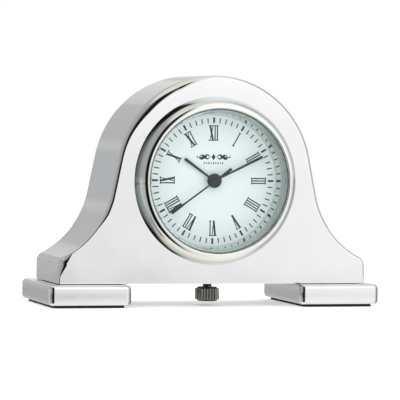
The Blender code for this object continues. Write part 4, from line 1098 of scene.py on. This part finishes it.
def make_crown():
    """A fluted knob between two smaller discs, under the short tube that it turns in."""
    low, high = box_mm("crown")
    radius, place = max(high.x, high.y - STEM_Y), (0, STEM_Y)
    outline = []
    count = FLUTES * FLUTE_STEPS
    for i in range(count):
        angle = math.tau * i / count
        wave = 0.5 + 0.5 * math.cos(FLUTES * angle)
        outline.append(polar(radius - FLUTE_DEPTH * (1 - wave**0.5), angle))
    knob = flat("crown_knob", outline, (low.z + KNOB_INSET, high.z - KNOB_INSET), place, False)
    bevel(knob, KNOB_EDGE, 3, 50.0)
    rim, edge = CORE_RADIUS - CORE_EDGE, CORE_EDGE
    core = [(0.0, low.z)]
    core += arc((rim, low.z + edge), (edge, -edge), 90, 0, 4)
    core += arc((rim, high.z - edge), (edge, edge), 0, 90, 4)
    core.append((0.0, high.z))
    join(knob, turned("core", core, place, along_y=False, sides=72))
    cut(knob, post("bore", CROWN_BORE, place, (CROWN_BORE_FLOOR, high.z + OVER), False, 40))
    keep(settle(knob), "crown_metal", "crown", body="stem")
    low, high = box_mm("crown_tube")
    flange, shoulder, edge = (high.x - low.x) / 2, CASE_LOW.z + CASE_WALL + GAP, 0.08
    profile = [
        (TUBE, low.z + edge), (TUBE - edge, low.z), (TUBE_BORE + edge, low.z),
        (TUBE_BORE, low.z + edge), (TUBE_BORE, high.z), (flange - edge, high.z),
        (flange, high.z - edge), (flange, shoulder), (TUBE, shoulder),
    ]
    tube = turned("neck_tube", profile, place, along_y=False, sides=64)
    keep(settle(tube), "crown_metal", "crown_tube")


# --- Stage, light and camera ---


def make_floor():
    """A pale round table top that stays near white to the camera."""
    top = [(0.0, -1.0), (FLOOR_RADIUS, -1.0), (FLOOR_RADIUS, 0.0), (0.0, 0.0)]
    floor = turned("floor", top, (0, 0), False, 96)
    finish = Finish((0.93, 0.93, 0.93), 0.0, 0.9)
    finish.material.name = "pale_floor"
    finish.set("Emission Color", (1.0, 1.0, 1.0, 1.0))
    finish.set("Emission Strength", FLOOR_GLOW)
    floor.data.materials.append(finish.material)
    floor.visible_glossy = False  # the room's own ground is mirrored in its place


# What the polished faces mirror: (compass bearing in degrees, brightness where the feet mirror it,
# where the case does, and high up). 0 is the front and 90 the left. The dark part is an unlit side.
ROOM = (
    (-180, 0.45, 0.50, 0.60), (-168, 0.50, 0.66, 0.75), (-155, 0.40, 0.50, 0.75),
    (-146, 0.20, 0.22, 0.60), (-95, 0.20, 0.24, 0.50), (-69, 0.46, 0.46, 0.62),
    (-49, 0.80, 0.82, 0.95), (-34, 0.98, 1.00, 1.15), (-20, 0.94, 1.05, 1.25),
    (-14, 0.70, 0.92, 1.15), (-6, 0.60, 0.80, 1.00), (-1, 0.35, 0.45, 0.70),
    (3, 0.004, 0.004, 0.004), (33, 0.004, 0.004, 0.004), (42, 0.03, 0.26, 0.15),
    (58, 0.14, 0.48, 0.36), (78, 0.34, 0.52, 0.42), (96, 0.52, 0.58, 0.44),
    (114, 0.64, 0.74, 0.44), (128, 0.56, 0.60, 0.46), (150, 0.43, 0.51, 0.50),
    (163, 0.43, 0.51, 0.49), (180, 0.45, 0.50, 0.52),
)
ROOM_LIGHT = 1.25  # the brightest level that the ramps can hold
COOL_SIDE, COOL = (34, 181), (0.985, 1.0, 1.02)
CEILING, GROUND = (0.84, 0.84, 0.755), (0.96, 0.97, 0.87)
SHELF = (0.565, 0.575, 0.585)  # a pale strip low on the wall behind
SOFT_LOW, SOFT_HIGH = (1.05, 1.05, 1.05), (1.5, 1.5, 1.5)  # what lights the matt faces
FLOOR_RADIUS, FLOOR_GLOW = 420.0, 0.25

# Where the room changes, as the Z of a direction of length 1: (none of the next look, all of it).
# SHELF_BACK is a Y, because the strip is only behind the clock.
FEET_END, UNDER_FEET = (-0.0635, -0.0600), (-0.076, -0.086)
HIGH_WALL, CEILING_START, GROUND_START = (-0.025, 0.035), (0.80, 0.90), (-0.6, -0.8)
SHELF_FOOT, SHELF_TOP, SHELF_BACK = (0.09, 0.13), (0.18, 0.13), (0.7, 0.9)
SOFT_CHANGE = (-0.3, 0.8)


def make_room():
    """Soft light from all round. Mirror-like faces see a room with a dark side and a bright side."""
    world = bpy.data.worlds.new("studio")
    bpy.context.scene.world = world
    world.use_nodes = True
    nodes, links = world.node_tree.nodes, world.node_tree.links
    nodes.clear()

    def math_node(operation, *values):
        node = nodes.new("ShaderNodeMath")
        node.operation = operation
        for socket, value in zip(node.inputs, values):
            if isinstance(value, (int, float)):
                socket.default_value = value
            else:
                links.new(value, socket)
        return node.outputs[0]

    def mix(factor, a, b):
        node = nodes.new("ShaderNodeMix")
        node.data_type = "RGBA"
        for name, value in (("Factor", factor), ("A", a), ("B", b)):
            if isinstance(value, tuple):
                node.inputs[name].default_value = (*value, 1.0)
            else:
                links.new(value, node.inputs[name])
        return node.outputs["Result"]

    def between(value, limits):
        """0 at the first limit and before it, 1 at the second and past it."""
        node = nodes.new("ShaderNodeMapRange")
        node.interpolation_type = "SMOOTHSTEP"
        node.inputs["From Min"].default_value = limits[0]
        node.inputs["From Max"].default_value = limits[1]
        links.new(value, node.inputs["Value"])
        return node.outputs["Result"]

    way = nodes.new("ShaderNodeSeparateXYZ")
    links.new(nodes.new("ShaderNodeTexCoord").outputs["Generated"], way.inputs[0])
    x, y, z = way.outputs
    to_left, to_front = math_node("MULTIPLY", x, -1.0), math_node("MULTIPLY", y, -1.0)
    bearing = math_node("ARCTAN2", to_left, to_front)
    share = math_node("ADD", math_node("MULTIPLY", bearing, 1 / math.tau), 0.5)

    def walls(column):
        """The room's brightness by bearing, from one of ROOM's three columns of levels."""
        ramp = nodes.new("ShaderNodeValToRGB")
        stops = ramp.color_ramp.elements
        for i, row in enumerate(ROOM):
            place = row[0] / 360 + 0.5
            stop = stops[i] if i < 2 else stops.new(place)
            stop.position = place
            tint = COOL if COOL_SIDE[0] < row[0] < COOL_SIDE[1] else (1.0, 1.0, 1.0)
            stop.color = (*[row[column] / ROOM_LIGHT * part for part in tint], 1.0)
        links.new(share, ramp.inputs["Fac"])
        brighter = nodes.new("ShaderNodeVectorMath")
        brighter.operation = "SCALE"
        brighter.inputs["Scale"].default_value = ROOM_LIGHT
        links.new(ramp.outputs["Color"], brighter.inputs[0])
        return brighter.outputs[0]

    level = walls(2)
    mirrored = mix(between(z, FEET_END), walls(1), level)
    mirrored = mix(between(z, UNDER_FEET), mirrored, level)
    mirrored = mix(between(z, HIGH_WALL), mirrored, walls(3))
    mirrored = mix(between(z, CEILING_START), mirrored, CEILING)
    mirrored = mix(between(z, GROUND_START), mirrored, GROUND)
    strip = math_node("MULTIPLY", between(z, SHELF_FOOT), between(z, SHELF_TOP))
    mirrored = mix(math_node("MULTIPLY", strip, between(y, SHELF_BACK)), mirrored, SHELF)

    path = nodes.new("ShaderNodeLightPath")
    soft = mix(between(z, SOFT_CHANGE), SOFT_LOW, SOFT_HIGH)
    seen = mix(path.outputs["Is Glossy Ray"], soft, mirrored)
    seen = mix(path.outputs["Is Camera Ray"], seen, (1.0, 1.0, 1.0))
    background = nodes.new("ShaderNodeBackground")
    links.new(seen, background.inputs["Color"])
    links.new(background.outputs[0], nodes.new("ShaderNodeOutputWorld").inputs["Surface"])


def make_camera():
    angles = (CAMERA_AZIMUTH, CAMERA_ELEVATION, CAMERA_ROLL)
    azimuth, elevation, roll = (math.radians(angle) for angle in angles)
    level = math.cos(elevation)
    forward = Vector((-math.sin(azimuth) * level, math.cos(azimuth) * level, -math.sin(elevation)))
    data = bpy.data.cameras.new("camera")
    data.lens = CAMERA_LENS
    data.clip_start = 0.01
    camera = add_object("camera", data)
    place = Matrix.Translation((Vector(CAMERA_TARGET) - forward * CAMERA_DISTANCE) * MM)
    facing = forward.to_track_quat("-Z", "Y").to_matrix().to_4x4()
    camera.matrix_world = place @ facing @ Matrix.Rotation(roll, 4, "Z")
    bpy.context.scene.camera = camera


# --- The scene ---

finish_carried_nodes()
make_case_body()
make_back_plate()
make_screws()
make_battery_cover()
make_foot("left")
make_foot("right")
make_bezel()
make_glass()
make_reflector()
make_dial()
make_hands()
make_crown()
make_floor()
make_room()
make_camera()
bpy.context.scene.view_settings.view_transform = "Standard"
